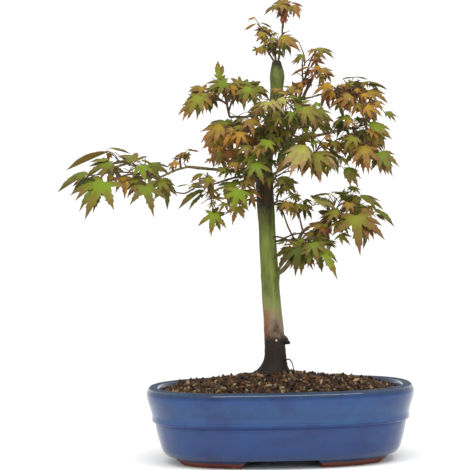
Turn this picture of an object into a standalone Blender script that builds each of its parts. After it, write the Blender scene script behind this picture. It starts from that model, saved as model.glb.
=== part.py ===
# Japanese maple bonsai in an oval footed pot: pot, soil, trunk, boughs and masses of palmate leaves.
# Metres, +Z up. The tree's front is towards -Y. The pot stands on z = 0.
import math
import random

import bmesh
import bpy
from mathutils import Matrix, Vector
from mathutils.bvhtree import BVHTree

GAP = 0.0003                  # clearance between neighbouring pieces
UP = Vector((0, 0, 1))

# Pot: an oval of the kind sold as 25 cm
POT_LENGTH = 0.250
POT_WIDTH = 0.180
POT_HEIGHT = 0.070
POT_OVAL = 2.55               # 2 is an ellipse, more is squarer
POT_POINTS = 36
FLOOR_HEIGHT = 0.0140         # top of the pot's floor
UNDERSIDE_HEIGHT = 0.0080     # the feet lift the body this much
# The wall's profile, (inset from the widest line, height), from the underside up and over the rim
OUTER_WALL = (
    (0.0215, UNDERSIDE_HEIGHT), (0.0166, 0.0086), (0.0140, 0.0112), (0.0082, 0.0310), (0.0076, 0.0346),
    (0.0054, 0.0364), (0.0046, 0.0398), (0.0052, 0.0440), (0.0028, 0.0510), (0.0006, 0.0590),
    (0.0000, 0.0640), (0.0012, 0.0680), (0.0040, POT_HEIGHT),
)
INNER_WALL = (
    (0.0105, 0.0696), (0.0122, 0.0676), (0.0140, 0.0520), (0.0186, 0.0175), (0.0230, FLOOR_HEIGHT),
)
FOOT_DEPTH = 0.0150           # across the foot's ring
FOOT_TOP_INSET = 0.0190
FOOT_BOTTOM_INSET = 0.0270
FOOT_FRONT_GAP = (0.0320, 0.0370)     # half the gap between two feet at the front, top and bottom
FOOT_SIDE_GAP = (0.0290, 0.0330)      # the same at the pot's ends
FOOT_STEPS = 5

# Soil, heaped towards the trunk
SOIL_EDGE_HEIGHT = 0.0635
SOIL_TOP_HEIGHT = 0.0797
SOIL_FLAT_RADIUS = 0.0215
SOIL_POINTS = 26
SOIL_ROUGHNESS = 0.0005
LUMP_SPACING = 0.021          # low lumps of coarse soil, in staggered rows
LUMP_HEIGHT = 0.0021
LUMP_RADII = (0.0056, 0.0074)
LUMP_SIDES = 5

# Trunk: its middle line and its radius along it
TRUNK_FOOT = SOIL_TOP_HEIGHT + GAP
TRUNK_SIDES = 14
TRUNK_RINGS = 18
TRUNK_LINE = (
    (-0.0046, 0.000, TRUNK_FOOT), (-0.0036, 0.000, 0.095), (-0.0044, 0.001, 0.122), (-0.0068, 0.003, 0.162),
    (-0.0087, 0.003, 0.212), (-0.0103, 0.001, 0.256), (-0.0070, -0.001, 0.290), (0.0008, 0.001, 0.328),
    (0.0034, 0.002, 0.358), (0.0030, 0.002, 0.372),
)
TRUNK_RADII = ((0.0, 0.0098), (0.30, 0.0086), (0.48, 0.0079), (0.545, 0.0085), (0.60, 0.0079),
               (0.655, 0.0062), (0.80, 0.0058), (0.955, 0.0062), (0.985, 0.0050), (1.0, 0.0034))
FLARE_SPREAD = 0.0095         # how far the root flare stands out at the cut
FLARE_HEIGHT = 0.0068         # height over which it dies away
FLARE_LOBES = 4
STUB_LINE = ((0.001, -0.002, 0.1170), (0.0098, -0.004, 0.1080))       # pruned stub low on the trunk
STUB_RADIUS = 0.0021

# Boughs: name, limb it grows from, root and tip radius and route, in millimetres from the pot's middle
BOUGHS = (
    ("bough_long_left", "trunk", 1.7, 1.35,
     ((-9.5, 1, 264), (-36, -2, 270), (-60, -6, 272.5), (-82, -9, 275))),
    ("bough_left_end", "bough_long_left", 1.25, 0.95,
     ((-82, -9, 275), (-93, -11, 272), (-107, -12, 266))),
    ("bough_lower_left", "trunk", 1.3, 0.95,
     ((-10, 0, 266), (-24, -7, 266), (-38, -11, 264), (-58, -16, 258))),
    ("bough_middle_left", "trunk", 1.3, 1.0, ((-7, -1, 290), (-16, -6, 296), (-27, -11, 299))),
    ("bough_upper_left", "trunk", 1.5, 1.1,
     ((-2, 0, 318), (-15, -4, 322.5), (-28, -7, 320.5), (-38, -9, 321))),
    ("bough_right", "trunk", 1.8, 1.2, ((-6, 0, 291), (14, -5, 298), (41, -10, 302), (66, -12, 307))),
    ("bough_upper_right", "trunk", 1.4, 1.1, ((1, 1, 328), (14, -3, 335), (26, -6, 337))),
    ("bough_high_right", "bough_upper_right", 1.0, 0.85, ((25, -5.9, 337), (34, -8, 337.5), (47, -10, 341))),
    ("bough_inner_right", "trunk", 1.5, 1.05, ((-9.5, 0, 262), (6, -9, 271), (22, -18, 279))),
    ("bough_low_right", "trunk", 2.4, 2.0,
     ((-7.3, 3, 170), (6, -4, 177.5), (15, -8, 191), (19, -8, 203))),
    ("bough_low_right_end", "bough_low_right", 1.8, 1.1,
     ((19, -8, 202), (24, -9, 212), (33, -10, 218), (43, -10, 222))),
    ("bough_leader", "trunk", 0.95, 0.75, ((4, 2, 369), (6.5, 1, 383), (8.5, 0, 395), (9.5, 0, 404))),
    ("bough_back_left", "trunk", 1.5, 1.0, ((-4, 0, 305), (-12, 20, 314), (-24, 36, 317))),
    ("bough_back_right", "trunk", 1.5, 1.0, ((0, 1, 318), (12, 20, 322), (25, 34, 322))),
    ("bough_back_low", "trunk", 1.6, 1.1, ((-10, 2, 246), (-8, 18, 256), (-2, 32, 262))),
)
BOUGH_SIDES = 6

# Foliage: name, limb, where on that limb the stem starts (0 root, 1 tip), leaf length in millimetres,
# colour, seed, and the middles of the leading leaf of each shoot (millimetres from the pot's middle)
GREEN, PALE, OLIVE, BRONZE = (0.17, 0.26, 0.03), (0.36, 0.40, 0.08), (0.16, 0.15, 0.03), (0.27, 0.13, 0.03)
FOLIAGE = (
    ("foliage_far_left", "bough_left_end", 1.0, 32, GREEN, 3,
     ((-164, -30, 260), (-127, -36, 260), (-181, -6, 269), (-155, 2, 287), (-130, -6, 286), (-144, 36, 282),
      (-113, 16, 268))),
    ("foliage_above_left", "bough_left_end", 0.3, 14, BRONZE, 5, ((-84, -8, 288), (-95, 0, 284))),
    ("foliage_lower_left", "bough_lower_left", 1.0, 23, GREEN, 8,
     ((-82, -20, 255), (-58, -32, 232), (-66, -24, 259))),
    ("foliage_under_left", "trunk", 0.585, 28, GREEN, 11,
     ((-33, -36, 253), (-47, -32, 273), (-19, -42, 268))),
    ("foliage_middle_left", "bough_middle_left", 1.0, 25, BRONZE, 13,
     ((-50, -30, 308), (-39, -38, 296), (-54, -22, 290), (-25, -42, 308), (-29, -26, 286))),
    ("foliage_upper_left", "bough_upper_left", 1.0, 25, OLIVE, 17,
     ((-72, -24, 334), (-66, 12, 346), (-53, -2, 364), (-45, -24, 352), (-24, -32, 354), (-34, 14, 358))),
    ("foliage_apex", "bough_leader", 1.0, 17, BRONZE, 19, ((8, -8, 429), (16, 6, 428), (4, 10, 427))),
    ("foliage_top", "trunk", 0.985, 16, OLIVE, 23,
     ((12, -18, 400), (-4, -10, 403), (-15, 4, 412), (-10, -6, 391), (8, 14, 396))),
    ("foliage_upper_right", "bough_upper_right", 0.9, 19, BRONZE, 29,
     ((40, -8, 383), (27, -2, 378), (33, -20, 366), (44, -12, 363), (26, 8, 354))),
    ("foliage_high_right", "bough_high_right", 1.0, 25, BRONZE, 34,
     ((55, -18, 346), (77, 6, 352), (87, -8, 346), (66, -32, 333), (88, -32, 325), (98, 2, 334))),
    ("foliage_right", "bough_right", 1.0, 26, OLIVE, 37,
     ((70, -32, 314), (92, -22, 312), (72, -34, 296), (98, -28, 281), (84, 0, 290), (80, 26, 305))),
    ("foliage_inner_right", "bough_inner_right", 1.0, 27, PALE, 41,
     ((27, -38, 287), (44, -28, 287), (66, -18, 270), (52, 4, 285))),
    ("foliage_near_trunk", "trunk", 0.50, 19, OLIVE, 43,
     ((6, -14, 258), (11, -22, 240), (25, -10, 235))),
    ("foliage_low_right", "bough_low_right_end", 1.0, 31, GREEN, 47,
     ((75, -34, 220), (53, -26, 231), (42, -12, 243), (78, -10, 246), (91, -4, 236), (60, 14, 249))),
    ("foliage_lowest_right", "trunk", 0.425, 29, GREEN, 53,
     ((38, -34, 197), (20, -24, 199), (42, -8, 212))),
    ("foliage_front", "trunk", 0.80, 27, OLIVE, 59, ((22, -54, 319), (-3, -58, 326), (10, -44, 336))),
    ("foliage_front_low", "trunk", 0.70, 23, GREEN, 61, ((-9, -50, 291), (-14, -42, 274))),
    ("foliage_back_left", "bough_back_left", 1.0, 28, OLIVE, 67,
     ((-40, 60, 331), (-20, 60, 306), (-52, 44, 306))),
    ("foliage_back_right", "bough_back_right", 1.0, 28, OLIVE, 71,
     ((26, 64, 327), (54, 52, 318), (16, 56, 300))),
    ("foliage_back_low", "bough_back_low", 1.0, 27, GREEN, 73,
     ((-18, 50, 276), (26, 50, 274), (7, 46, 254))),
)
STEM_RADIUS = 0.0012
TWIG_RADII = (0.00085, 0.00095, 0.00090)          # at its root, its bend and its last knot
STALK_RADIUS = 0.00038
STEM_START = 0.004            # the stem's first straight piece
FORK_SHARE = 0.38             # the stem forks this far along the way to its shoots
FORK_LIFT = 0.002
LEAF_TRIES = 8                # each next try moves further and is a little smaller
TRY_SHIFT = Vector((0.022, 0.075, 0.022))         # in leaf lengths, mostly forwards or back
TRY_SHRINK = 0.035
LEAF_THICKNESS = 0.0014       # at the leaf's middle, thinning to its edge
LEAF_DROOP = 0.34             # how far the longest lobe's tip hangs below the leaf's middle
LOBE_ANGLES = (0, 42, 86)     # degrees from the middle lobe
LOBE_LENGTHS = (1.0, 0.90, 0.64)
NOTCH_LENGTHS = (0.44, 0.34)
BASE_LENGTH = 0.045           # the two points beside the leaf's stalk
BASE_ANGLE = 155
CROWN_LOW = Vector((-0.208, -0.090, 0.168))       # no leaf reaches past these
CROWN_HIGH = Vector((0.118, 0.090, 0.431))


def millimetres(point):
    return Vector(point) / 1000


def new_object(name, mesh):
    thing = bpy.data.objects.new(name, mesh)
    bpy.context.scene.collection.objects.link(thing)
    return thing


def finished_mesh(name, bm):
    bmesh.ops.recalc_face_normals(bm, faces=bm.faces)
    mesh = bpy.data.meshes.new(name)
    bm.to_mesh(mesh)
    bm.free()
    return mesh


def paint(thing, colour, roughness):
    material = bpy.data.materials.new(thing.name)
    material.use_nodes = True
    shader = material.node_tree.nodes["Principled BSDF"]
    shader.inputs["Base Color"].default_value = (*colour, 1)
    shader.inputs["Roughness"].default_value = roughness
    thing.data.materials.clear()
    thing.data.materials.append(material)


def loft(rings):
    # closed solid through rings of equally many points, with a fan at each end
    bm = bmesh.new()
    rows = [[bm.verts.new(point) for point in ring] for ring in rings]
    for low, high in zip(rows, rows[1:]):
        for i in range(len(low)):
            j = (i + 1) % len(low)
            bm.faces.new((low[i], low[j], high[j], high[i]))
    for row in (rows[0], rows[-1]):
        if len(row) < 5:
            bm.faces.new(row)
            continue
        middle = bm.verts.new(sum((vert.co for vert in row), Vector()) / len(row))
        for i in range(len(row)):
            bm.faces.new((row[i], row[(i + 1) % len(row)], middle))
    return bm


def apply_boolean(thing, operation, solver, other=None, collection=None):
    modifier = thing.modifiers.new("cut", "BOOLEAN")
    modifier.operation = operation
    modifier.solver = solver
    if collection:
        modifier.operand_type = "COLLECTION"
        modifier.collection = collection
    else:
        modifier.object = other
    shape = thing.evaluated_get(bpy.context.evaluated_depsgraph_get())
    mesh = bpy.data.meshes.new_from_object(shape)
    thing.modifiers.clear()
    thing.data = mesh


def keep_outer_shell(thing):
    # fills hollows that a union has sealed and drops loose scraps: only the largest closed shell stays
    bm = bmesh.new()
    bm.from_mesh(thing.data)
    left = set(bm.faces)
    shells = []
    while left:
        shell = [left.pop()]
        for face in shell:
            for edge in face.edges:
                for other in edge.link_faces:
                    if other in left:
                        left.remove(other)
                        shell.append(other)
        shells.append(shell)
    shells.sort(key=len)
    spare = [face for shell in shells[:-1] for face in shell]
    bmesh.ops.delete(bm, geom=spare, context="FACES")
    bm.to_mesh(thing.data)
    bm.free()


def join_all(thing, pieces, solver):
    # one union of the object with a collection of closed pieces, which then go
    group = bpy.data.collections.new("pieces")
    bpy.context.scene.collection.children.link(group)
    for bm in pieces:
        group.objects.link(bpy.data.objects.new("piece", finished_mesh("piece", bm)))
    apply_boolean(thing, "UNION", solver, collection=group)
    for piece in list(group.objects):
        bpy.data.objects.remove(piece)
    bpy.data.collections.remove(group)


def oval_point(inset, height, turn):
    half_length = POT_LENGTH / 2 - inset
    half_width = POT_WIDTH / 2 - inset
    c, s = math.cos(turn), math.sin(turn)
    x = half_length * math.copysign(abs(c) ** (2 / POT_OVAL), c)
    y = half_width * math.copysign(abs(s) ** (2 / POT_OVAL), s)
    return Vector((x, y, height))


def oval_ring(inset, height, points):
    return [oval_point(inset, height, 2 * math.pi * (i + 0.5) / points) for i in range(points)]


def turn_where(axis, distance, inset):
    # the oval's parameter, in the first quarter, where the ring is this far along X (0) or Y (1)
    half = (POT_LENGTH, POT_WIDTH)[axis] / 2 - inset
    share = (distance / half) ** (POT_OVAL / 2)
    return math.acos(share) if axis == 0 else math.asin(share)


def foot_piece(side_x, side_y):
    # one curved foot, its ends slanting in towards the ground
    rows = []
    for inset, height, level in ((FOOT_BOTTOM_INSET, 0, 1), (FOOT_TOP_INSET, UNDERSIDE_HEIGHT + 0.0008, 0)):
        start = turn_where(1, FOOT_SIDE_GAP[level], inset)
        stop = turn_where(0, FOOT_FRONT_GAP[level], inset)
        turns = [start + (stop - start) * i / FOOT_STEPS for i in range(FOOT_STEPS + 1)]
        outer = [oval_point(inset, height, turn) for turn in turns]
        inner = [point * 1 for point in outer]
        for point, turn in zip(inner, turns):
            away = Vector((math.cos(turn) / POT_LENGTH, math.sin(turn) / POT_WIDTH, 0)).normalized()
            point -= away * FOOT_DEPTH
        rows.append([Vector((p.x * side_x, p.y * side_y, p.z)) for p in outer + inner[::-1]])
    bm = bmesh.new()
    low, high = ([bm.verts.new(point) for point in row] for row in rows)
    count = len(low)
    for i in range(count):
        j = (i + 1) % count
        bm.faces.new((low[i], low[j], high[j], high[i]))
    for row in (low, high):
        for i in range(FOOT_STEPS):
            bm.faces.new((row[i], row[i + 1], row[count - 2 - i], row[count - 1 - i]))
    return bm


def make_pot():
    rings = [oval_ring(inset, height, POT_POINTS) for inset, height in OUTER_WALL + INNER_WALL]
    pot = new_object("pot", finished_mesh("pot", loft(rings)))
    feet = [foot_piece(side_x, side_y) for side_x in (-1, 1) for side_y in (-1, 1)]
    join_all(pot, feet, "EXACT")
    pot.data.shade_smooth()
    pot.data.set_sharp_from_angle(angle=math.radians(35))
    paint(pot, (0.05, 0.10, 0.26), 0.18)
    return pot


def inner_inset(height):
    # the pot's inner wall at this height
    line = INNER_WALL[::-1]
    for (low_inset, low), (high_inset, high) in zip(line, line[1:]):
        if height <= high:
            return low_inset + (high_inset - low_inset) * (height - low) / (high - low)
    return line[-1][0]


def heap_share(x, y, inset):
    # how far out on the heap a place is: 0 at the trunk, 1 at the pot's wall
    away_x, away_y = x - TRUNK_LINE[0][0], y - TRUNK_LINE[0][1]
    half_length = POT_LENGTH / 2 - inset - math.copysign(TRUNK_LINE[0][0], away_x)
    half_width = POT_WIDTH / 2 - inset
    return (abs(away_x / half_length) ** POT_OVAL + abs(away_y / half_width) ** POT_OVAL) ** (1 / POT_OVAL)


def heap_height(share):
    return SOIL_EDGE_HEIGHT + (SOIL_TOP_HEIGHT - SOIL_EDGE_HEIGHT) * (1 - share) ** 0.62


def lump_places(inset):
    # middles and radii of the lumps: staggered rows, each lump a little out of line
    dice = random.Random(6)
    places = []
    rows = range(-5, 6)
    for row in rows:
        for column in rows:
            x = (column + 0.5 * (row % 2)) * LUMP_SPACING + dice.uniform(-0.0035, 0.0035)
            y = row * LUMP_SPACING * 0.87 + dice.uniform(-0.0035, 0.0035)
            radius = dice.uniform(*LUMP_RADII)
            away = math.hypot(x - TRUNK_LINE[0][0], y - TRUNK_LINE[0][1])
            if heap_share(x, y, inset) < 0.855 and away > SOIL_FLAT_RADIUS + 0.6 * radius:
                places.append((x, y, radius))
    return places


def soil_lump(x, y, radius, height, turn):
    # a low block with slanting sides, its lower part inside the heap
    rings = []
    for level, share in ((-0.004, 1.1), (LUMP_HEIGHT, 0.62)):
        turns = [turn + 2 * math.pi * k / LUMP_SIDES for k in range(LUMP_SIDES)]
        rings.append([Vector((x + radius * share * math.cos(t), y + radius * share * math.sin(t), height + level))
                      for t in turns])
    bm = bmesh.new()
    low, high = ([bm.verts.new(point) for point in ring] for ring in rings)
    for i in range(LUMP_SIDES):
        j = (i + 1) % LUMP_SIDES
        bm.faces.new((low[i], low[j], high[j], high[i]))
    bm.faces.new(low)
    bm.faces.new(high)
    return bm


def make_soil():
    dice = random.Random(4)
    rings = [oval_ring(INNER_WALL[-1][0] + 2 * GAP, FLOOR_HEIGHT + GAP, SOIL_POINTS)]
    for height in (0.0180, 0.0520, SOIL_EDGE_HEIGHT):
        rings.append(oval_ring(inner_inset(height) + 2 * GAP, height, SOIL_POINTS))
    rim = rings[-1]
    middle = Vector((TRUNK_LINE[0][0], TRUNK_LINE[0][1], 0))
    for share in (0.86, 0.66, 0.46, 0.30):
        height = heap_height(share)
        rings.append([Vector((middle.x + (p.x - middle.x) * share, middle.y + (p.y - middle.y) * share,
                              height + dice.uniform(-SOIL_ROUGHNESS, SOIL_ROUGHNESS))) for p in rim])
    flat = []
    for p in rim:
        away = (p - middle).to_2d().normalized() * SOIL_FLAT_RADIUS
        flat.append(Vector((middle.x + away.x, middle.y + away.y, SOIL_TOP_HEIGHT)))
    rings.append(flat)
    soil = new_object("soil", finished_mesh("soil", loft(rings)))
    inset = inner_inset(SOIL_EDGE_HEIGHT)
    lumps = []
    for x, y, radius in lump_places(inset):
        lumps.append(soil_lump(x, y, radius, heap_height(heap_share(x, y, inset)), dice.uniform(0, 1)))
    join_all(soil, lumps, "EXACT")
    keep_outer_shell(soil)
    paint(soil, (0.11, 0.06, 0.03), 0.95)
    return soil


def smooth_line(points, steps):
    # Catmull-Rom curve through the points, with equal steps between each two
    ends = [2 * points[0] - points[1]] + list(points) + [2 * points[-1] - points[-2]]
    line = []
    for a, b, c, d in zip(ends, ends[1:], ends[2:], ends[3:]):
        for i in range(steps):
            t = i / steps
            line.append(0.5 * (2 * b + (c - a) * t + (2 * a - 5 * b + 4 * c - d) * t ** 2
                               + (3 * b - a - 3 * c + d) * t ** 3))
    return line + [points[-1]]


def tube_rings(line, radii, sides, level_ends=False):
    # rings square to the line, turning as little as they can from one to the next
    rings = []
    across = None
    for i, point in enumerate(line):
        ahead = (line[min(i + 1, len(line) - 1)] - line[max(i - 1, 0)]).normalized()
        if level_ends:
            ahead = UP
        across = (across or ahead.orthogonal()).copy()
        across = (across - ahead * across.dot(ahead)).normalized()
        beside = ahead.cross(across)
        turns = [2 * math.pi * k / sides for k in range(sides)]
        rings.append([point + (across * math.cos(t) + beside * math.sin(t)) * radii[i] for t in turns])
    return rings


def tube(line, radii, sides):
    return loft(tube_rings(line, radii, sides))


def at_share(keys, share):
    for (low, value), (high, next_value) in zip(keys, keys[1:]):
        if share <= high:
            return value + (next_value - value) * (share - low) / (high - low)
    return keys[-1][1]


def trunk_solid(extra):
    # the trunk, or with some extra all round it the guard that cuts its neighbours clear
    base = smooth_line([Vector(point) for point in TRUNK_LINE], 8)
    line = [base[round(i * (len(base) - 1) / TRUNK_RINGS)] for i in range(TRUNK_RINGS + 1)]
    line[1:1] = [line[0].lerp(line[1], share) for share in (0.2, 0.45, 0.72)]
    top = TRUNK_LINE[-1][2] - TRUNK_FOOT
    rings = tube_rings(line, [1] * len(line), TRUNK_SIDES, level_ends=True)
    for point, ring in zip(line, rings):
        height = point.z - TRUNK_FOOT
        radius = at_share(TRUNK_RADII, height / top)
        fade = math.exp(-height / FLARE_HEIGHT)
        for k in range(TRUNK_SIDES):
            turn = 2 * math.pi * k / TRUNK_SIDES
            lobe = 0.62 + 0.38 * math.cos(FLARE_LOBES * turn + 0.7)
            reach = radius + FLARE_SPREAD * lobe * fade + extra
            ring[k] = point + (ring[k] - point).normalized() * reach
    if extra:
        rings[-1] = [point + UP * extra for point in rings[-1]]
    return loft(rings)


def make_trunk():
    trunk = new_object("trunk", finished_mesh("trunk", trunk_solid(0)))
    stub = tube([Vector(point) for point in STUB_LINE], (STUB_RADIUS * 1.3, STUB_RADIUS * 0.7), 8)
    join_all(trunk, [stub], "EXACT")
    trunk.data.shade_smooth()
    trunk.data.set_sharp_from_angle(angle=math.radians(50))
    paint(trunk, (0.20, 0.24, 0.08), 0.7)
    return trunk


class Limb:
    # a trunk or bough that others grow from: its middle line and the solid kept clear round it
    def __init__(self, line, guard):
        self.line = line
        self.guard = guard

    def point_at(self, share):
        place = share * (len(self.line) - 1)
        i = min(int(place), len(self.line) - 2)
        return self.line[i].lerp(self.line[i + 1], place - i)

    def heading_at(self, share):
        return (self.point_at(min(share + 0.08, 1)) - self.point_at(share - 0.08)).normalized()


def guard_object(bm):
    guard = new_object("guard", finished_mesh("guard", bm))
    guard.hide_render = True
    guard.display_type = "WIRE"
    return guard


def clear_of(thing, limb):
    apply_boolean(thing, "DIFFERENCE", "EXACT", other=limb.guard)


def make_bough(name, parent, root_radius, tip_radius, route):
    line = smooth_line([millimetres(point) for point in route], 3)
    count = len(line) - 1
    taper = [(root_radius + (tip_radius - root_radius) * i / count) / 1000 for i in range(count + 1)]
    bough = new_object(name, finished_mesh(name, tube(line, taper, BOUGH_SIDES)))
    clear_of(bough, parent)
    keep_outer_shell(bough)
    bough.data.shade_smooth()
    bough.data.set_sharp_from_angle(angle=math.radians(50))
    paint(bough, (0.09, 0.09, 0.05), 0.75)
    longer = [line[0]] + line[1:-1] + [line[-1] + (line[-1] - line[-2]).normalized() * GAP]
    guard = guard_object(tube(longer, [radius + GAP for radius in taper], BOUGH_SIDES))
    return bough, Limb(line, guard)


def leaf_outline(length):
    # points round a palmate leaf, from one side of its stalk to the other: (along, sideways, drop)
    turns = []
    for side in (-1, 1):
        turns.append((side * BASE_ANGLE, BASE_LENGTH))
        for k, (angle, reach) in enumerate(zip(LOBE_ANGLES, LOBE_LENGTHS)):
            if k or side > 0:
                turns.append((side * angle, reach))
        for k, reach in enumerate(NOTCH_LENGTHS):
            turns.append((side * (LOBE_ANGLES[k] + LOBE_ANGLES[k + 1]) / 2, reach))
    points = []
    for angle, reach in sorted(turns):
        away = reach * length
        turn = math.radians(angle)
        points.append((away * math.cos(turn), away * math.sin(turn), LEAF_DROOP * reach ** 2 * length))
    return points


def leaf_solid(leaf, thickness=LEAF_THICKNESS, stalk=(), radii=()):
    # a thin lens with the outline of a maple leaf, arched over its middle, drawn out into its stalk
    middle, along, face, length = leaf
    side = face.cross(along)
    bm = bmesh.new()
    ring = [bm.verts.new(middle + along * u + side * v - face * w) for u, v, w in leaf_outline(length)]
    peaks = [bm.verts.new(middle + face * thickness * half) for half in (0.5, -0.5)]
    for peak in peaks:
        for a, b in zip(ring, ring[1:]):
            bm.faces.new((a, b, peak))
    if not stalk:
        bm.faces.new((ring[-1], ring[0], peaks[0]))
        bm.faces.new((ring[-1], ring[0], peaks[1]))
        return bm
    near, far = peaks if (middle - stalk[-1]).dot(face) < 0 else peaks[::-1]
    bm.faces.new((ring[-1], ring[0], far))
    row = (near, ring[-1], ring[0])
    line = list(stalk) + [sum((vert.co for vert in row), Vector()) / 3]
    spread = [vert.co - line[-1] for vert in row]
    for i in range(len(stalk) - 1, -1, -1):
        ahead = (line[i + 1] - line[max(i - 1, 0)]).normalized()
        spread = [arm - ahead * arm.dot(ahead) for arm in spread]
        next_row = [bm.verts.new(line[i] + arm.normalized() * radii[i]) for arm in spread]
        for k in range(3):
            bm.faces.new((row[k], row[k - 1], next_row[k - 1], next_row[k]))
        row = next_row
    bm.faces.new(row)
    return bm


def tree_of(bm):
    found = BVHTree.FromBMesh(bm)
    bm.free()
    return found


class Mass:
    # one mass of leaves: a stem with shoots, and on each shoot a leading leaf, a pair and a lower leaf
    def __init__(self, name, limb, start, leaf, colour, seed, shoots):
        self.name = name
        self.limb = limb
        self.start = start
        self.leaf = leaf / 1000
        self.colour = colour
        self.dice = random.Random(seed)
        self.ends = [millimetres(point) for point in shoots]
        self.middle = sum(self.ends, Vector()) / len(self.ends)
        self.twigs = []
        self.leaves = []

    def jitter(self, size):
        return Vector([self.dice.uniform(-size, size) for _ in range(3)])

    def grow_twigs(self, solids):
        root = self.limb.point_at(self.start)
        heading = (self.middle - root).normalized()
        if self.start == 1:
            heading = self.limb.heading_at(1)
        near = root + heading * STEM_START
        fork = near.lerp(self.middle, FORK_SHARE) + UP * FORK_LIFT
        self.stem = smooth_line([root, near, fork], 2)
        keep_clear(self.name, "stem", self.stem, STEM_RADIUS, solids)
        for number, end in enumerate(self.ends):
            knot = fork.lerp(near, 0.06 + 0.80 * number / len(self.ends))
            node = end - (end - knot).normalized() * self.leaf * 0.30
            bend = knot.lerp(node, 0.5) + UP * (node - knot).length * 0.07 + self.jitter(0.0012)
            self.twigs.append([knot, bend, node])
            keep_clear(self.name, number, self.twigs[-1], TWIG_RADII[1], solids)

    def leaf_at(self, middle, length, loose):
        away = middle - self.middle
        away = Vector((away.x, away.y * 0.4, away.z * 0.25)).normalized()
        along = (-UP * 0.85 + away * 0.70 + self.jitter(loose)).normalized()
        front = -1 if middle.y < max(self.middle.y, 0.0) + 0.004 else 1
        face = Vector((away.x * 0.35, front * 0.95, 0.50)) + self.jitter(loose)
        face = (face - along * face.dot(along)).normalized()
        return (middle, along, face, length)

    def places(self):
        # every leaf that the rule asks for: its shoot, its stalk's line, its middle and its length
        for number, (end, twig) in enumerate(zip(self.ends, self.twigs)):
            yield number, twig, end, self.leaf * self.dice.uniform(0.92, 1.1)
        for number, twig in enumerate(self.twigs):
            toward = (twig[2] - twig[1]).normalized()
            level = toward.cross(UP).normalized()
            for side in (-1, 1):
                knot = twig[2].lerp(twig[1], 0.10 + 0.06 * side)
                stalk = (level * side + toward * 0.35 - UP * 0.12).normalized() * self.leaf * 0.50
                yield number, [knot], knot + stalk, self.leaf * self.dice.uniform(0.66, 0.84)
            upright = (UP - toward * UP.dot(toward)).normalized()
            stalk = (upright * 0.5 + level * self.dice.choice((-0.8, 0.8))).normalized() * self.leaf * 0.42
            knot = twig[1].lerp(twig[2], 0.05)
            yield number, [knot], knot + stalk, self.leaf * 0.6

    def grow_leaves(self, solids):
        bare = set(range(len(self.ends)))
        for number, stalk, middle, length in self.places():
            leading = len(stalk) > 1
            if number in bare and not leading:
                continue
            for attempt in range(LEAF_TRIES * (1 + leading)):
                moved = middle + self.jitter(attempt * self.leaf) * TRY_SHIFT
                leaf = self.leaf_at(moved, length * (1 - TRY_SHRINK * attempt), 0.16 + 0.08 * attempt)
                if self.fits(number, leaf, stalk, solids):
                    bare.discard(number)
                    self.leaves.append((leaf, stalk))
                    solids.append((self.name, "blade", moved, length, tree_of(leaf_solid(leaf))))
                    keep_clear(self.name, "stalk", [stalk[-1], moved], STALK_RADIUS, solids)
                    break

    def fits(self, number, leaf, stalk, solids):
        middle, along, face, length = leaf
        if (middle - stalk[-1]).normalized().dot(along) < 0.25:
            return False
        guard = leaf_solid((middle, along, face, length * 1.04), LEAF_THICKNESS + 6 * GAP)
        corners = [vert.co.copy() for vert in guard.verts]
        guard = tree_of(guard)
        blade = tree_of(leaf_solid(leaf))
        line = tree_of(tube([stalk[-1], middle], [STALK_RADIUS + 0.0006] * 2, 3))
        for low, high, *values in zip(CROWN_LOW, CROWN_HIGH, *corners):
            if min(values) < low or max(values) > high:
                return False
        for owner, part, place, reach, solid in solids:
            if (place - middle).length > reach + length * 1.1 + 0.004:
                continue
            if owner != self.name:
                if guard.overlap(solid) or line.overlap(solid):
                    return False
            elif part != number and blade.overlap(solid):
                return False
            elif part == "blade" and line.overlap(solid):
                return False
        return True

    def build(self):
        stem = tube(self.stem, [STEM_RADIUS] * len(self.stem), 6)
        thing = new_object(self.name, finished_mesh(self.name, stem))
        pieces = []
        for leaf, stalk in self.leaves:
            radii = TWIG_RADII if len(stalk) > 1 else (STALK_RADIUS,)
            pieces.append(leaf_solid(leaf, stalk=stalk, radii=radii))
        join_all(thing, pieces, "MANIFOLD")
        clear_of(thing, self.limb)
        keep_outer_shell(thing)
        paint(thing, self.colour, 0.5)
        return thing


def keep_clear(owner, part, line, radius, solids):
    # adds what a new leaf has to stay clear of: one entry for each stretch of a line
    for a, b in zip(line, line[1:]):
        stretch = tree_of(tube([a, b], [radius + GAP] * 2, 6))
        solids.append((owner, part, (a + b) / 2, (b - a).length, stretch))


def centre_on_ground(things):
    # the origin is on the ground, under the middle of the whole plant's box
    corners = [vert.co for thing in things for vert in thing.data.vertices]
    middle = [(min(co[axis] for co in corners) + max(co[axis] for co in corners)) / 2 for axis in (0, 1)]
    for thing in things:
        thing.data.transform(Matrix.Translation((-middle[0], -middle[1], 0)))


def main():
    for thing in list(bpy.data.objects):
        bpy.data.objects.remove(thing)
    things = [make_pot(), make_soil(), make_trunk()]
    trunk_line = smooth_line([Vector(point) for point in TRUNK_LINE], 8)
    limbs = {"trunk": Limb(trunk_line, guard_object(trunk_solid(GAP)))}
    solids = []
    for a, b in zip(trunk_line, trunk_line[1:]):
        share = (a.z - TRUNK_FOOT) / (TRUNK_LINE[-1][2] - TRUNK_FOOT)
        keep_clear("trunk", "limb", [a, b], at_share(TRUNK_RADII, share), solids)
    for name, parent, root_radius, tip_radius, route in BOUGHS:
        bough, limbs[name] = make_bough(name, limbs[parent], root_radius, tip_radius, route)
        keep_clear(name, "limb", limbs[name].line, root_radius / 1000, solids)
        things.append(bough)
    masses = [Mass(name, limbs[limb], *rest) for name, limb, *rest in FOLIAGE]
    for mass in masses:
        mass.grow_twigs(solids)
    for mass in masses:
        mass.grow_leaves(solids)
        things.append(mass.build())
    for limb in limbs.values():
        bpy.data.objects.remove(limb.guard)
    centre_on_ground(things)


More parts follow.
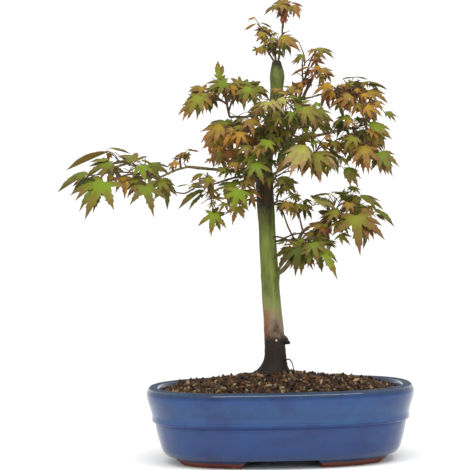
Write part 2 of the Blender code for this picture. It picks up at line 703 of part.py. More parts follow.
main()
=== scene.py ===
# Maple bonsai in an oval glazed pot: leaves, twigs, bark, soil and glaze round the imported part
import math
import random

import bpy
import numpy as np
from mathutils import Matrix, Vector, noise
from mathutils.bvhtree import BVHTree


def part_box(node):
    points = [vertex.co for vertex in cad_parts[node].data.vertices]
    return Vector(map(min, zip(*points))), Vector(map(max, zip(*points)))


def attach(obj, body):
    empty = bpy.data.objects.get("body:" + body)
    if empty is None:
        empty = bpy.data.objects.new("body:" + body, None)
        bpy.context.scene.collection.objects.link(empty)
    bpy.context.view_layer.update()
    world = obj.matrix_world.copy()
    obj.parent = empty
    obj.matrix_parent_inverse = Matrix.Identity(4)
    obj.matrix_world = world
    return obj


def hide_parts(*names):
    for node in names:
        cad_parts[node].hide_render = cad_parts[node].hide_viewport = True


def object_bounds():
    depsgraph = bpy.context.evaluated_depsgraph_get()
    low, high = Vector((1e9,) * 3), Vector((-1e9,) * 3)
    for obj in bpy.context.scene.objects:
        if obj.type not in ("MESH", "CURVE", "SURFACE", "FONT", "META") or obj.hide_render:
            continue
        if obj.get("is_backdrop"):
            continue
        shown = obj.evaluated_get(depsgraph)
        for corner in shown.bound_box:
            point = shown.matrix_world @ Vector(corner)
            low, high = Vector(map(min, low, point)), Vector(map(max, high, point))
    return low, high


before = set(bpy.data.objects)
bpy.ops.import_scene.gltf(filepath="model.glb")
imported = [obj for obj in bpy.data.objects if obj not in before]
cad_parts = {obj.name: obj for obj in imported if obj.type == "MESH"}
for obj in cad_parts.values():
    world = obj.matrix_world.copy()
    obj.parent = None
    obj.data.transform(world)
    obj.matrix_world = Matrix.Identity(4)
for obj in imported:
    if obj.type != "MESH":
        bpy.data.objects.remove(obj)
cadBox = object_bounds()
potLow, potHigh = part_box("pot")
potMiddle = Vector(((potLow.x + potHigh.x) / 2, (potLow.y + potHigh.y) / 2, 0))
upward = Vector((0, 0, 1))
print("frame loaded:", len(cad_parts), "nodes, pot middle", [round(c, 4) for c in potMiddle])


# small helpers
def tone(text):
    # linear colour from the usual six hex digits
    parts = [int(text[i:i + 2], 16) / 255 for i in (0, 2, 4)]
    return [p / 12.92 if p <= 0.04045 else ((p + 0.055) / 1.055) ** 2.4 for p in parts] + [1]


def millimetres(point):
    return Vector(point) / 1000


def clearSelection():
    if bpy.context.object and bpy.context.object.mode != "OBJECT":
        bpy.ops.object.mode_set(mode="OBJECT")
    bpy.ops.object.select_all(action="DESELECT")


def makeActive(piece):
    clearSelection()
    piece.select_set(True)
    bpy.context.view_layer.objects.active = piece


def applyModifier(piece, kind, **settings):
    makeActive(piece)
    modifier = piece.modifiers.new(kind.title(), kind)
    for key, value in settings.items():
        setattr(modifier, key, value)
    bpy.ops.object.modifier_apply(modifier=modifier.name)


def facesOutward():
    # turns every face of the piece in edit mode outward and leaves edit mode
    bpy.ops.mesh.select_all(action="SELECT")
    bpy.ops.mesh.normals_make_consistent(inside=False)
    bpy.ops.object.mode_set(mode="OBJECT")


def coat(piece, material):
    piece.data.materials.clear()
    piece.data.materials.append(material)
    piece.data.shade_smooth()


def meshPiece(name, points, faces, tones=None, picks=None, sharpAngle=50):
    # one joined mesh from arrays of points and faces
    mesh = bpy.data.meshes.new(name)
    mesh.from_pydata([tuple(p) for p in points], [], faces)
    for material in tones or []:
        mesh.materials.append(material)
    if picks is not None:
        mesh.polygons.foreach_set("material_index", np.asarray(picks, dtype=np.int32))
    mesh.shade_smooth()
    mesh.set_sharp_from_angle(angle=math.radians(sharpAngle))
    mesh.update()
    piece = bpy.data.objects.new(name, mesh)
    bpy.context.scene.collection.objects.link(piece)
    return piece


def hangOn(piece, slot, *nodes):
    # from the pot's own middle to the frame, then onto the plant's body
    piece.data.transform(Matrix.Translation(potMiddle))
    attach(piece, "root")
    if nodes:
        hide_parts(*nodes)
    print("  ", piece.name, len(piece.data.polygons), "faces")


# materials
def newMaterial(name):
    material = bpy.data.materials.new(name)
    material.use_nodes = True
    nodes = material.node_tree.nodes
    return material, nodes, material.node_tree.links, nodes["Principled BSDF"]


def noiseNode(nodes, links, coords, scale, detail=4, roughness=0.55, stretch=None):
    texture = nodes.new("ShaderNodeTexNoise")
    texture.inputs["Scale"].default_value = scale
    texture.inputs["Detail"].default_value = detail
    texture.inputs["Roughness"].default_value = roughness
    source = coords
    if stretch:
        mapping = nodes.new("ShaderNodeMapping")
        mapping.inputs["Scale"].default_value = stretch
        links.new(coords, mapping.inputs["Vector"])
        source = mapping.outputs["Vector"]
    links.new(source, texture.inputs["Vector"])
    return texture.outputs["Fac"]


def bumpNode(nodes, links, shader, height, strength, distance, below=None):
    bump = nodes.new("ShaderNodeBump")
    bump.inputs["Strength"].default_value = strength
    bump.inputs["Distance"].default_value = distance
    links.new(height, bump.inputs["Height"])
    if below:
        links.new(below, bump.inputs["Normal"])
    links.new(bump.outputs["Normal"], shader.inputs["Normal"])
    return bump.outputs["Normal"]


def rangeNode(nodes, links, value, low, high, start, stop):
    spread = nodes.new("ShaderNodeMapRange")
    spread.inputs["From Min"].default_value = low
    spread.inputs["From Max"].default_value = high
    spread.inputs["To Min"].default_value = start
    spread.inputs["To Max"].default_value = stop
    links.new(value, spread.inputs["Value"])
    return spread.outputs["Result"]


def rampNode(nodes, links, value, stops):
    ramp = nodes.new("ShaderNodeValToRGB")
    elements = ramp.color_ramp.elements
    elements[0].position, elements[0].color = stops[0][0], tone(stops[0][1])
    elements[1].position, elements[1].color = stops[-1][0], tone(stops[-1][1])
    for place, colour in stops[1:-1]:
        elements.new(place).color = tone(colour)
    links.new(value, ramp.inputs["Fac"])
    return ramp.outputs["Color"]


def mixNode(nodes, links, share, first, second, blend="MIX"):
    mix = nodes.new("ShaderNodeMix")
    mix.data_type = "RGBA"
    mix.blend_type = blend
    colours = [socket for socket in mix.inputs if socket.type == "RGBA"]
    for socket, value in ((mix.inputs[0], share), (colours[0], first), (colours[1], second)):
        if isinstance(value, bpy.types.NodeSocket):
            links.new(value, socket)
        else:
            socket.default_value = value
    return [s for s in mix.outputs if s.type == "RGBA"][0]


def mathNode(nodes, links, operation, first, second):
    step = nodes.new("ShaderNodeMath")
    step.operation = operation
    for socket, value in zip(step.inputs, (first, second)):
        if isinstance(value, bpy.types.NodeSocket):
            links.new(value, socket)
        else:
            socket.default_value = value
    return step.outputs[0]


def objectCoords(nodes):
    return nodes.new("ShaderNodeTexCoord").outputs["Object"]


def barkMaterial(name, light, dark, scale):
    # a rough skin in two tones: boughs, twigs, stalks, earth and chips
    material, nodes, links, shader = newMaterial(name)
    coords = objectCoords(nodes)
    grain = noiseNode(nodes, links, coords, scale / 8, 5)
    fine = noiseNode(nodes, links, coords, scale, 3)
    shader.inputs["Specular IOR Level"].default_value = 0.2
    links.new(rampNode(nodes, links, grain, ((0.35, dark), (0.62, light))), shader.inputs["Base Color"])
    links.new(rangeNode(nodes, links, fine, 0.3, 0.7, 0.62, 0.85), shader.inputs["Roughness"])
    bumpNode(nodes, links, shader, fine, 0.5, 0.0002)
    return material


# camera: the photograph's place, lens, height and slight roll
view = {
    "distance": 1.440, "focalPixels": 1533.6, "height": 0.2105, "yaw": 0.02, "roll": 0.02,
    "potColumn": 276.7, "framePixels": 470, "sensor": 36,
}


def lensTurn():
    # how far the lens is turned from the plant's own front to back line
    look = math.atan2(view["potColumn"] - view["framePixels"] / 2, view["focalPixels"])
    return view["yaw"] - look


def fromPhoto(column, row, depth):
    # the place that the photograph shows there, at a depth from the pot's middle, in whole millimetres
    across, down = column - view["framePixels"] / 2, row - view["framePixels"] / 2
    level = across * math.cos(view["roll"]) - down * math.sin(view["roll"])
    drop = across * math.sin(view["roll"]) + down * math.cos(view["roll"])
    turn = lensTurn()
    sideways = view["focalPixels"] * math.sin(turn) + level * math.cos(turn)
    inward = view["focalPixels"] * math.cos(turn) - level * math.sin(turn)
    reach = (depth / 1000 + view["distance"] * math.cos(view["yaw"])) / inward
    x = sideways * reach - view["distance"] * math.sin(view["yaw"])
    z = view["height"] - drop * reach
    return round(x * 1000), depth, round(z * 1000)


def placeCamera():
    turn = lensTurn()
    away = Vector((-math.sin(view["yaw"]), -math.cos(view["yaw"]), 0)) * view["distance"]
    place = potMiddle + away + upward * view["height"]
    ahead = Vector((math.sin(turn), math.cos(turn), 0))
    right = Vector((math.cos(turn), -math.sin(turn), 0))
    tilted = right * math.cos(view["roll"]) - upward * math.sin(view["roll"])
    top = upward * math.cos(view["roll"]) + right * math.sin(view["roll"])
    matrix = Matrix((tilted, top, -ahead)).transposed().to_4x4()
    matrix.translation = place
    lens = bpy.data.cameras.new("photoLens")
    lens.lens = view["focalPixels"] / view["framePixels"] * view["sensor"]
    lens.sensor_width = view["sensor"]
    lens.clip_start = 0.02
    camera = bpy.data.objects.new("photoCamera", lens)
    camera.matrix_world = matrix
    bpy.context.scene.collection.objects.link(camera)
    bpy.context.scene.camera = camera


placeCamera()


# stage and light
stage = {
    "floorTone": "f4f4f2", "width": 5.0, "front": -2.6, "back": 1.6, "bend": 0.7, "bendSteps": 12,
    "height": 2.6,
}
lamps = {
    "air": 0.95, "aim": (0, 0, 0.2),
    "panels": {
        "overhead": {"place": (0.15, -0.80, 1.45), "size": (1.9, 0.25), "watts": 18, "mirrored": True},
        "left": {"place": (-1.35, -0.95, 0.75), "size": (0.9, 0.9), "watts": 10, "mirrored": False},
        "right": {"place": (1.30, -1.05, 0.60), "size": (0.9, 0.9), "watts": 9, "mirrored": False},
    },
}


def makeStage():
    profile = [(stage["front"], 0.0), (stage["back"], 0.0)]
    for i in range(1, stage["bendSteps"] + 1):
        turn = math.pi / 2 * i / stage["bendSteps"]
        profile.append((stage["back"] + stage["bend"] * math.sin(turn), stage["bend"] * (1 - math.cos(turn))))
    profile.append((stage["back"] + stage["bend"], stage["height"]))
    points, faces = [], []
    for y, z in profile:
        points += [(-stage["width"] / 2, y, z), (stage["width"] / 2, y, z)]
    for i in range(len(profile) - 1):
        faces.append((2 * i, 2 * i + 1, 2 * i + 3, 2 * i + 2))
    material, nodes, links, shader = newMaterial("paleSweep")
    coords = objectCoords(nodes)
    shader.inputs["Base Color"].default_value = tone(stage["floorTone"])
    grain = noiseNode(nodes, links, coords, 220)
    links.new(rangeNode(nodes, links, grain, 0.3, 0.7, 0.55, 0.7), shader.inputs["Roughness"])
    sweep = meshPiece("studioSweep", points, faces, [material], sharpAngle=80)
    sweep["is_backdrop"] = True


def makeLights():
    bpy.context.scene.view_settings.view_transform = "Standard"
    for name, spec in lamps["panels"].items():
        lamp = bpy.data.lights.new(name, "AREA")
        lamp.shape = "RECTANGLE"
        lamp.size, lamp.size_y = spec["size"]
        lamp.energy = spec["watts"]
        holder = bpy.data.objects.new(name, lamp)
        holder.location = spec["place"]
        aim = Vector(lamps["aim"]) - holder.location
        holder.rotation_euler = aim.to_track_quat("-Z", "Y").to_euler()
        holder.visible_glossy = spec["mirrored"]
        bpy.context.scene.collection.objects.link(holder)
    world = bpy.data.worlds.new("studioAir")
    world.use_nodes = True
    world.node_tree.nodes["Background"].inputs["Color"].default_value = (1, 1, 1, 1)
    world.node_tree.nodes["Background"].inputs["Strength"].default_value = lamps["air"]
    bpy.context.scene.world = world


makeStage()
makeLights()
print("camera, stage and lights placed")


# limbs: the same routes and sizes as the part
gap = 0.0003
soilTop = 0.0797
trunk = {
    "foot": soilTop + gap,
    "line": ((-0.0046, 0.000, soilTop + gap), (-0.0036, 0.000, 0.095), (-0.0044, 0.001, 0.122),
             (-0.0068, 0.003, 0.162), (-0.0087, 0.003, 0.212), (-0.0103, 0.001, 0.256),
             (-0.0070, -0.001, 0.290), (0.0008, 0.001, 0.328), (0.0034, 0.002, 0.358),
             (0.0030, 0.002, 0.372)),
    "radii": ((0.0, 0.0098), (0.30, 0.0086), (0.48, 0.0079), (0.545, 0.0085), (0.60, 0.0079),
              (0.655, 0.0062), (0.80, 0.0058), (0.955, 0.0062), (0.985, 0.0050), (1.0, 0.0034)),
}
boughs = (
    ("bough_long_left", "trunk", 1.7, 1.35,
     ((-9.5, 1, 264), (-36, -2, 270), (-60, -6, 272.5), (-82, -9, 275))),
    ("bough_left_end", "bough_long_left", 1.25, 0.95, ((-82, -9, 275), (-93, -11, 272), (-107, -12, 266))),
    ("bough_lower_left", "trunk", 1.3, 0.95,
     ((-10, 0, 266), (-24, -7, 266), (-38, -11, 264), (-58, -16, 258))),
    ("bough_middle_left", "trunk", 1.3, 1.0, ((-7, -1, 290), (-16, -6, 296), (-27, -11, 299))),
    ("bough_upper_left", "trunk", 1.5, 1.1,
     ((-2, 0, 318), (-15, -4, 322.5), (-28, -7, 320.5), (-38, -9, 321))),
    ("bough_right", "trunk", 1.8, 1.2, ((-6, 0, 291), (14, -5, 298), (41, -10, 302), (66, -12, 307))),
    ("bough_upper_right", "trunk", 1.4, 1.1, ((1, 1, 328), (14, -3, 335), (26, -6, 337))),
    ("bough_high_right", "bough_upper_right", 1.0, 0.85, ((25, -5.9, 337), (34, -8, 337.5), (47, -10, 341))),
    ("bough_inner_right", "trunk", 1.5, 1.05, ((-9.5, 0, 262), (6, -9, 271), (22, -18, 279))),
    ("bough_low_right", "trunk", 2.4, 2.0, ((-7.3, 3, 170), (6, -4, 177.5), (15, -8, 191), (19, -8, 203))),
    ("bough_low_right_end", "bough_low_right", 1.8, 1.1,
     ((19, -8, 202), (24, -9, 212), (33, -10, 218), (43, -10, 222))),
    ("bough_leader", "trunk", 0.95, 0.75, ((4, 2, 369), (6.5, 1, 383), (8.5, 0, 395), (9.5, 0, 404))),
    ("bough_back_left", "trunk", 1.5, 1.0, ((-4, 0, 305), (-12, 20, 314), (-24, 36, 317))),
    ("bough_back_right", "trunk", 1.5, 1.0, ((0, 1, 318), (12, 20, 322), (25, 34, 322))),
    ("bough_back_low", "trunk", 1.6, 1.1, ((-10, 2, 246), (-8, 18, 256), (-2, 32, 262))),
)
foliage = (
    ("foliage_far_left", "bough_left_end", 1.0, 32, "green", 3,
     ((-164, -30, 260), (-127, -36, 260), (-181, -6, 269), (-155, 2, 287), (-130, -6, 286),
      (-144, 36, 282), (-113, 16, 268))),
    ("foliage_above_left", "bough_left_end", 0.3, 14, "bronze", 5, ((-84, -8, 288), (-95, 0, 284))),
    ("foliage_lower_left", "bough_lower_left", 1.0, 23, "green", 8,
     ((-82, -20, 255), (-58, -32, 232), (-66, -24, 259))),
    ("foliage_under_left", "trunk", 0.585, 28, "green", 11,
     ((-33, -36, 253), (-47, -32, 273), (-19, -42, 268))),
    ("foliage_middle_left", "bough_middle_left", 1.0, 25, "bronze", 13,
     ((-50, -30, 308), (-39, -38, 296), (-54, -22, 290), (-25, -42, 308), (-29, -26, 286))),
    ("foliage_upper_left", "bough_upper_left", 1.0, 25, "olive", 17,
     ((-72, -24, 334), (-66, 12, 346), (-53, -2, 364), (-45, -24, 352), (-24, -32, 354),
      (-34, 14, 358))),
    ("foliage_apex", "bough_leader", 1.0, 17, "bronze", 19, ((8, -8, 429), (16, 6, 428), (4, 10, 427))),
    ("foliage_top", "trunk", 0.985, 16, "olive", 23,
     ((12, -18, 400), (-4, -10, 403), (-15, 4, 412), (-10, -6, 391), (8, 14, 396))),
    ("foliage_upper_right", "bough_upper_right", 0.9, 19, "bronze", 29,
     ((40, -8, 383), (27, -2, 378), (33, -20, 366), (44, -12, 363), (26, 8, 354))),
    ("foliage_high_right", "bough_high_right", 1.0, 25, "bronze", 34,
     ((55, -18, 346), (77, 6, 352), (87, -8, 346), (66, -32, 333), (88, -32, 325), (98, 2, 334))),
    ("foliage_right", "bough_right", 1.0, 26, "olive", 37,
     ((70, -32, 314), (92, -22, 312), (72, -34, 296), (98, -28, 281), (84, 0, 290), (80, 26, 305))),
    ("foliage_inner_right", "bough_inner_right", 1.0, 27, "pale", 41,
     ((27, -38, 287), (44, -28, 287), (66, -18, 270), (52, 4, 285))),
    ("foliage_near_trunk", "trunk", 0.50, 19, "olive", 43, ((6, -14, 258), (11, -22, 240), (25, -10, 235))),
    ("foliage_low_right", "bough_low_right_end", 1.0, 31, "green", 47,
     ((75, -34, 220), (53, -26, 231), (42, -12, 243), (78, -10, 246), (91, -4, 236), (60, 14, 249))),
    ("foliage_lowest_right", "trunk", 0.425, 29, "green", 53,
     ((38, -34, 197), (20, -24, 199), (42, -8, 212))),
    ("foliage_front", "trunk", 0.80, 27, "olive", 59, ((22, -54, 319), (-3, -58, 326), (10, -44, 336))),
    ("foliage_front_low", "trunk", 0.70, 23, "green", 61, ((-9, -50, 291), (-14, -42, 274))),
    ("foliage_back_left", "bough_back_left", 1.0, 28, "olive", 67,
     ((-40, 60, 331), (-20, 60, 306), (-52, 44, 306))),
    ("foliage_back_right", "bough_back_right", 1.0, 28, "olive", 71,
     ((26, 64, 327), (54, 52, 318), (16, 56, 300))),
    ("foliage_back_low", "bough_back_low", 1.0, 27, "green", 73,
     ((-18, 50, 276), (26, 50, 274), (7, 46, 254))),
)
rule = {
    "stemRadius": 0.0012, "twigRadius": 0.00095, "stalkRadius": 0.00038, "stemStart": 0.004,
    "forkShare": 0.38, "forkLift": 0.002,
    # shoots: where they leave the stem, how far they stop short of their leaf, their arch and play
    "knotFrom": 0.06, "knotSpan": 0.80, "shortOf": 0.30, "arch": 0.07, "play": 0.0012,
    # leaves, in shares of the mass's own leaf: the leading one, the pair and the lower one
    "leading": (0.92, 1.1), "pair": (0.66, 0.84), "pairStalk": 0.50, "lower": 0.6, "lowerStalk": 0.42,
    "tries": 16, "shift": Vector((0.030, 0.095, 0.030)), "behind": 0.006, "shrink": 0.022,
    "loose": 0.16, "looser": 0.04, "stalkLongest": 0.038, "stalkAhead": 0.25, "stalkRoom": 0.0006,
    # where the pair and the lower leaf leave their shoot, and which way
    "pairPlace": 0.10, "pairApart": 0.06, "pairAhead": 0.35, "pairSink": 0.12,
    "lowerPlace": 0.05, "lowerRise": 0.5, "lowerSides": (-0.8, 0.8),
    # how a leaf hangs: down and outward, its face sideways, forward and up
    "awayBack": 0.4, "awayUp": 0.25, "hang": 0.85, "spread": 0.70, "frontRoom": 0.004,
    "sideways": 0.35, "forward": 0.95, "skyward": 0.50,
    # the room round a leaf, and how near another piece has to be to be tested
    "guard": 1.04, "guardGaps": 6, "near": 1.1, "nearRoom": 0.004,
    # the part's own leaf
    "thickness": 0.0014, "droop": 0.34, "lobeAngles": (0, 42, 86), "lobeLengths": (1.0, 0.90, 0.64),
    "notches": (0.44, 0.34), "baseLength": 0.045, "baseAngle": 155,
    "crownLow": Vector((-0.208, -0.090, 0.168)), "crownHigh": Vector((0.118, 0.090, 0.431)),
}


def smoothLine(points, steps):
    # Catmull-Rom curve through the points, with equal steps between each two
    ends = [2 * points[0] - points[1]] + list(points) + [2 * points[-1] - points[-2]]
    line = []
    for a, b, c, d in zip(ends, ends[1:], ends[2:], ends[3:]):
        for i in range(steps):
            t = i / steps
            line.append(0.5 * (2 * b + (c - a) * t + (2 * a - 5 * b + 4 * c - d) * t ** 2
                               + (3 * b - a - 3 * c + d) * t ** 3))
    return line + [points[-1]]


def atShare(keys, share):
    for (low, value), (high, nextValue) in zip(keys, keys[1:]):
        if share <= high:
            return value + (nextValue - value) * (share - low) / (high - low)
    return keys[-1][1]


def ringFrames(line):
    # across and beside directions square to the line, turning as little as they can
    frames = []
    across = None
    for i in range(len(line)):
        ahead = (line[min(i + 1, len(line) - 1)] - line[max(i - 1, 0)]).normalized()
        across = (across or ahead.orthogonal()).copy()
        across = (across - ahead * across.dot(ahead)).normalized()
        frames.append((across.copy(), ahead.cross(across)))
    return frames


def tubeArrays(line, radii, sides):
    # closed tube with round ends drawn in to a point
    points, faces = [], []
    for i, (across, beside) in enumerate(ringFrames(line)):
        for k in range(sides):
            turn = 2 * math.pi * k / sides
            points.append(line[i] + (across * math.cos(turn) + beside * math.sin(turn)) * radii[i])
    for i in range(len(line) - 1):
        for k in range(sides):
            j = (k + 1) % sides
            faces.append((i * sides + k, i * sides + j, (i + 1) * sides + j, (i + 1) * sides + k))
    first, last = len(points), len(points) + 1
    points += [line[0], line[-1] + (line[-1] - line[-2]).normalized() * radii[-1] * 0.5]
    top = (len(line) - 1) * sides
    for k in range(sides):
        j = (k + 1) % sides
        faces.append((j, k, first))
        faces.append((top + k, top + j, last))
    return points, faces


def treeOf(points, faces):
    return BVHTree.FromPolygons([tuple(p) for p in points], faces)


class Limb:
    # a trunk or bough that others grow from
    def __init__(self, line):
        self.line = line

    def pointAt(self, share):
        place = share * (len(self.line) - 1)
        i = min(int(place), len(self.line) - 2)
        return self.line[i].lerp(self.line[i + 1], place - i)

    def headingAt(self, share):
        return (self.pointAt(min(share + 0.08, 1)) - self.pointAt(share - 0.08)).normalized()


def keepClear(owner, part, line, radius, solids):
    # what a new leaf has to stay clear of: one entry for each stretch of a line
    for a, b in zip(line, line[1:]):
        points, faces = plainTube([a, b], [radius + gap] * 2, 6)
        solids.append((owner, part, (a + b) / 2, (b - a).length, treeOf(points, faces)))


def plainTube(line, radii, sides):
    points, faces = tubeArrays(line, radii, sides)
    points[-1] = line[-1]
    return points, faces


def coarseLeaf(leaf, thickness):
    # the part's own leaf: a thin lens with a maple leaf's outline
    middle, along, face, length = leaf
    side = face.cross(along)
    turns = []
    angles = rule["lobeAngles"]
    for hand in (-1, 1):
        turns.append((hand * rule["baseAngle"], rule["baseLength"]))
        for k, (angle, reach) in enumerate(zip(angles, rule["lobeLengths"])):
            if k or hand > 0:
                turns.append((hand * angle, reach))
        for k, reach in enumerate(rule["notches"]):
            turns.append((hand * (angles[k] + angles[k + 1]) / 2, reach))
    points = []
    for angle, reach in sorted(turns):
        away = reach * length
        turn = math.radians(angle)
        drop = rule["droop"] * reach ** 2 * length
        points.append(middle + along * away * math.cos(turn) + side * away * math.sin(turn) - face * drop)
    count = len(points)
    points += [middle + face * thickness / 2, middle - face * thickness / 2]
    faces = []
    for peak in (count, count + 1):
        for i in range(count):
            faces.append((i, (i + 1) % count, peak))
    return points, faces


class Mass:
    # one mass of leaves: a stem with shoots, and on each shoot a leading leaf, a pair and a lower leaf
    def __init__(self, name, limb, start, leaf, palette, seed, shoots):
        self.name = name
        self.limb = limb
        self.start = start
        self.leaf = leaf / 1000
        self.palette = palette
        self.dice = random.Random(seed)
        self.ends = [millimetres(point) for point in shoots]
        self.middle = sum(self.ends, Vector()) / len(self.ends)
        self.twigs = []
        self.leaves = []
        self.shapes = {}
        self.twiglets = []

    def jitter(self, size):
        return Vector([self.dice.uniform(-size, size) for _ in range(3)])

    def growTwigs(self, solids):
        root = self.limb.pointAt(self.start)
        heading = (self.middle - root).normalized()
        if self.start == 1:
            heading = self.limb.headingAt(1)
        near = root + heading * rule["stemStart"]
        fork = near.lerp(self.middle, rule["forkShare"]) + upward * rule["forkLift"]
        self.stem = smoothLine([root, near, fork], 2)
        keepClear(self.name, "stem", self.stem, rule["stemRadius"], solids)
        for number, end in enumerate(self.ends):
            knot = fork.lerp(near, rule["knotFrom"] + rule["knotSpan"] * number / len(self.ends))
            node = end - (end - knot).normalized() * self.leaf * rule["shortOf"]
            bend = knot.lerp(node, 0.5) + upward * (node - knot).length * rule["arch"]
            self.twigs.append([knot, bend + self.jitter(rule["play"]), node])
            keepClear(self.name, number, self.twigs[-1], rule["twigRadius"], solids)

    def leafAt(self, middle, length, loose):
        away = middle - self.middle
        away = Vector((away.x, away.y * rule["awayBack"], away.z * rule["awayUp"])).normalized()
        along = (-upward * rule["hang"] + away * rule["spread"] + self.jitter(loose)).normalized()
        front = -1 if middle.y < max(self.middle.y, 0.0) + rule["frontRoom"] else 1
        face = Vector((away.x * rule["sideways"], front * rule["forward"], rule["skyward"]))
        face += self.jitter(loose)
        face = (face - along * face.dot(along)).normalized()
        return (middle, along, face, length)

    def places(self):
        # every leaf that the rule asks for: its shoot, its stalk's line, its middle and its length
        for number, (end, twig) in enumerate(zip(self.ends, self.twigs)):
            yield number, twig, end, self.leaf * self.dice.uniform(*rule["leading"])
        for number, twig in enumerate(self.twigs):
            toward = (twig[2] - twig[1]).normalized()
            level = toward.cross(upward).normalized()
            for side in (-1, 1):
                knot = twig[2].lerp(twig[1], rule["pairPlace"] + rule["pairApart"] * side)
                out = (level * side + toward * rule["pairAhead"] - upward * rule["pairSink"]).normalized()
                middle = knot + out * self.leaf * rule["pairStalk"]
                yield number, [knot], middle, self.leaf * self.dice.uniform(*rule["pair"])
            upright = (upward - toward * upward.dot(toward)).normalized()
            aside = level * self.dice.choice(rule["lowerSides"])
            out = (upright * rule["lowerRise"] + aside).normalized()
            knot = twig[1].lerp(twig[2], rule["lowerPlace"])
            yield number, [knot], knot + out * self.leaf * rule["lowerStalk"], self.leaf * rule["lower"]

    def growLeaves(self, solids):
        bare = set(range(len(self.ends)))
        for number, stalk, middle, length in self.places():
            leading = len(stalk) > 1
            if number in bare and not leading:
                continue
            for attempt in range(rule["tries"] * (1 + leading)):
                moved = middle + self.jitter(attempt * self.leaf) * rule["shift"]
                moved.y += rule["behind"]
                smaller = length * (1 - rule["shrink"] * attempt)
                leaf = self.leafAt(moved, smaller, rule["loose"] + rule["looser"] * attempt)
                if cover.hides(leaf) and self.fits(number, leaf, stalk, solids):
                    bare.discard(number)
                    self.leaves.append((leaf, stalk))
                    solid = treeOf(*coarseLeaf(leaf, rule["thickness"]))
                    solids.append((self.name, "blade", moved, length, solid))
                    keepClear(self.name, "stalk", [stalk[-1], moved], rule["stalkRadius"], solids)
                    break

    def fits(self, number, leaf, stalk, solids):
        # whether the leaf has a short stalk and room of its own
        middle, along, face, length = leaf
        span = middle - stalk[-1]
        if span.length > rule["stalkLongest"] or span.normalized().dot(along) < rule["stalkAhead"]:
            return False
        room = rule["thickness"] + rule["guardGaps"] * gap
        corners, faces = coarseLeaf((middle, along, face, length * rule["guard"]), room)
        guard = treeOf(corners, faces)
        body = treeOf(*coarseLeaf(leaf, rule["thickness"]))
        line = treeOf(*plainTube([stalk[-1], middle], [rule["stalkRadius"] + rule["stalkRoom"]] * 2, 3))
        for low, high, *values in zip(rule["crownLow"], rule["crownHigh"], *corners):
            if min(values) < low or max(values) > high:
                return False
        for owner, part, place, reach, solid in solids:
            if (place - middle).length > reach + length * rule["near"] + rule["nearRoom"]:
                continue      # too far away to touch
            if owner != self.name:
                if guard.overlap(solid) or line.overlap(solid):
                    return False
            elif part != number and body.overlap(solid):
                return False
            elif part == "blade" and line.overlap(solid):
                return False
        return True


covering = {
    "square": 0.0022, "hidden": 0.86, "ahead": 0.001,
    "laid": (0.1, 0.25, 0.4, 0.55, 0.7, 0.85, 1.0, 1.15),      # how far out a leaf's spots are laid and asked
    "asked": (0.5, 0.9),
}


class Cover:
    # how near the front each small square of the front view is covered by the outer leaves
    def __init__(self):
        self.depths = {}

    def spots(self, leaf, shares):
        corners, _ = coarseLeaf(leaf, blade["thickness"])
        rim = corners[:-2]
        for a, b in zip(rim, rim[1:] + rim[:1]):
            for share in shares:
                for t in (0, 0.5):
                    yield leaf[0].lerp(a.lerp(b, t), share)

    def square(self, spot):
        return round(spot.x / covering["square"]), round(spot.z / covering["square"])

    def add(self, leaf):
        for spot in self.spots(leaf, covering["laid"]):
            key = self.square(spot)
            self.depths[key] = min(self.depths.get(key, 1), spot.y)

    def hides(self, leaf):
        spots = list(self.spots(leaf, covering["asked"]))
        seen = [self.depths.get(self.square(spot), 1) < spot.y - covering["ahead"] for spot in spots]
        return sum(seen) >= covering["hidden"] * len(seen)


def growPlant():
    limbs = {"trunk": Limb(trunkCurve)}
    solids = []
    for a, b in zip(trunkCurve, trunkCurve[1:]):
        share = (a.z - trunk["foot"]) / (trunk["line"][-1][2] - trunk["foot"])
        keepClear("trunk", "limb", [a, b], atShare(trunk["radii"], share), solids)
    for name, _, rootRadius, _, route in boughs:
        limbs[name] = Limb(smoothLine([millimetres(point) for point in route], 3))
        keepClear(name, "limb", limbs[name].line, rootRadius / 1000, solids)
    grown = [Mass(name, limbs[limb], *rest) for name, limb, *rest in foliage]
    for mass in grown:
        mass.growTwigs(solids)
    return grown, solids


trunkCurve = smoothLine([Vector(point) for point in trunk["line"]], 8)
cover = Cover()
masses, taken = growPlant()
print("limbs and shoots grown")


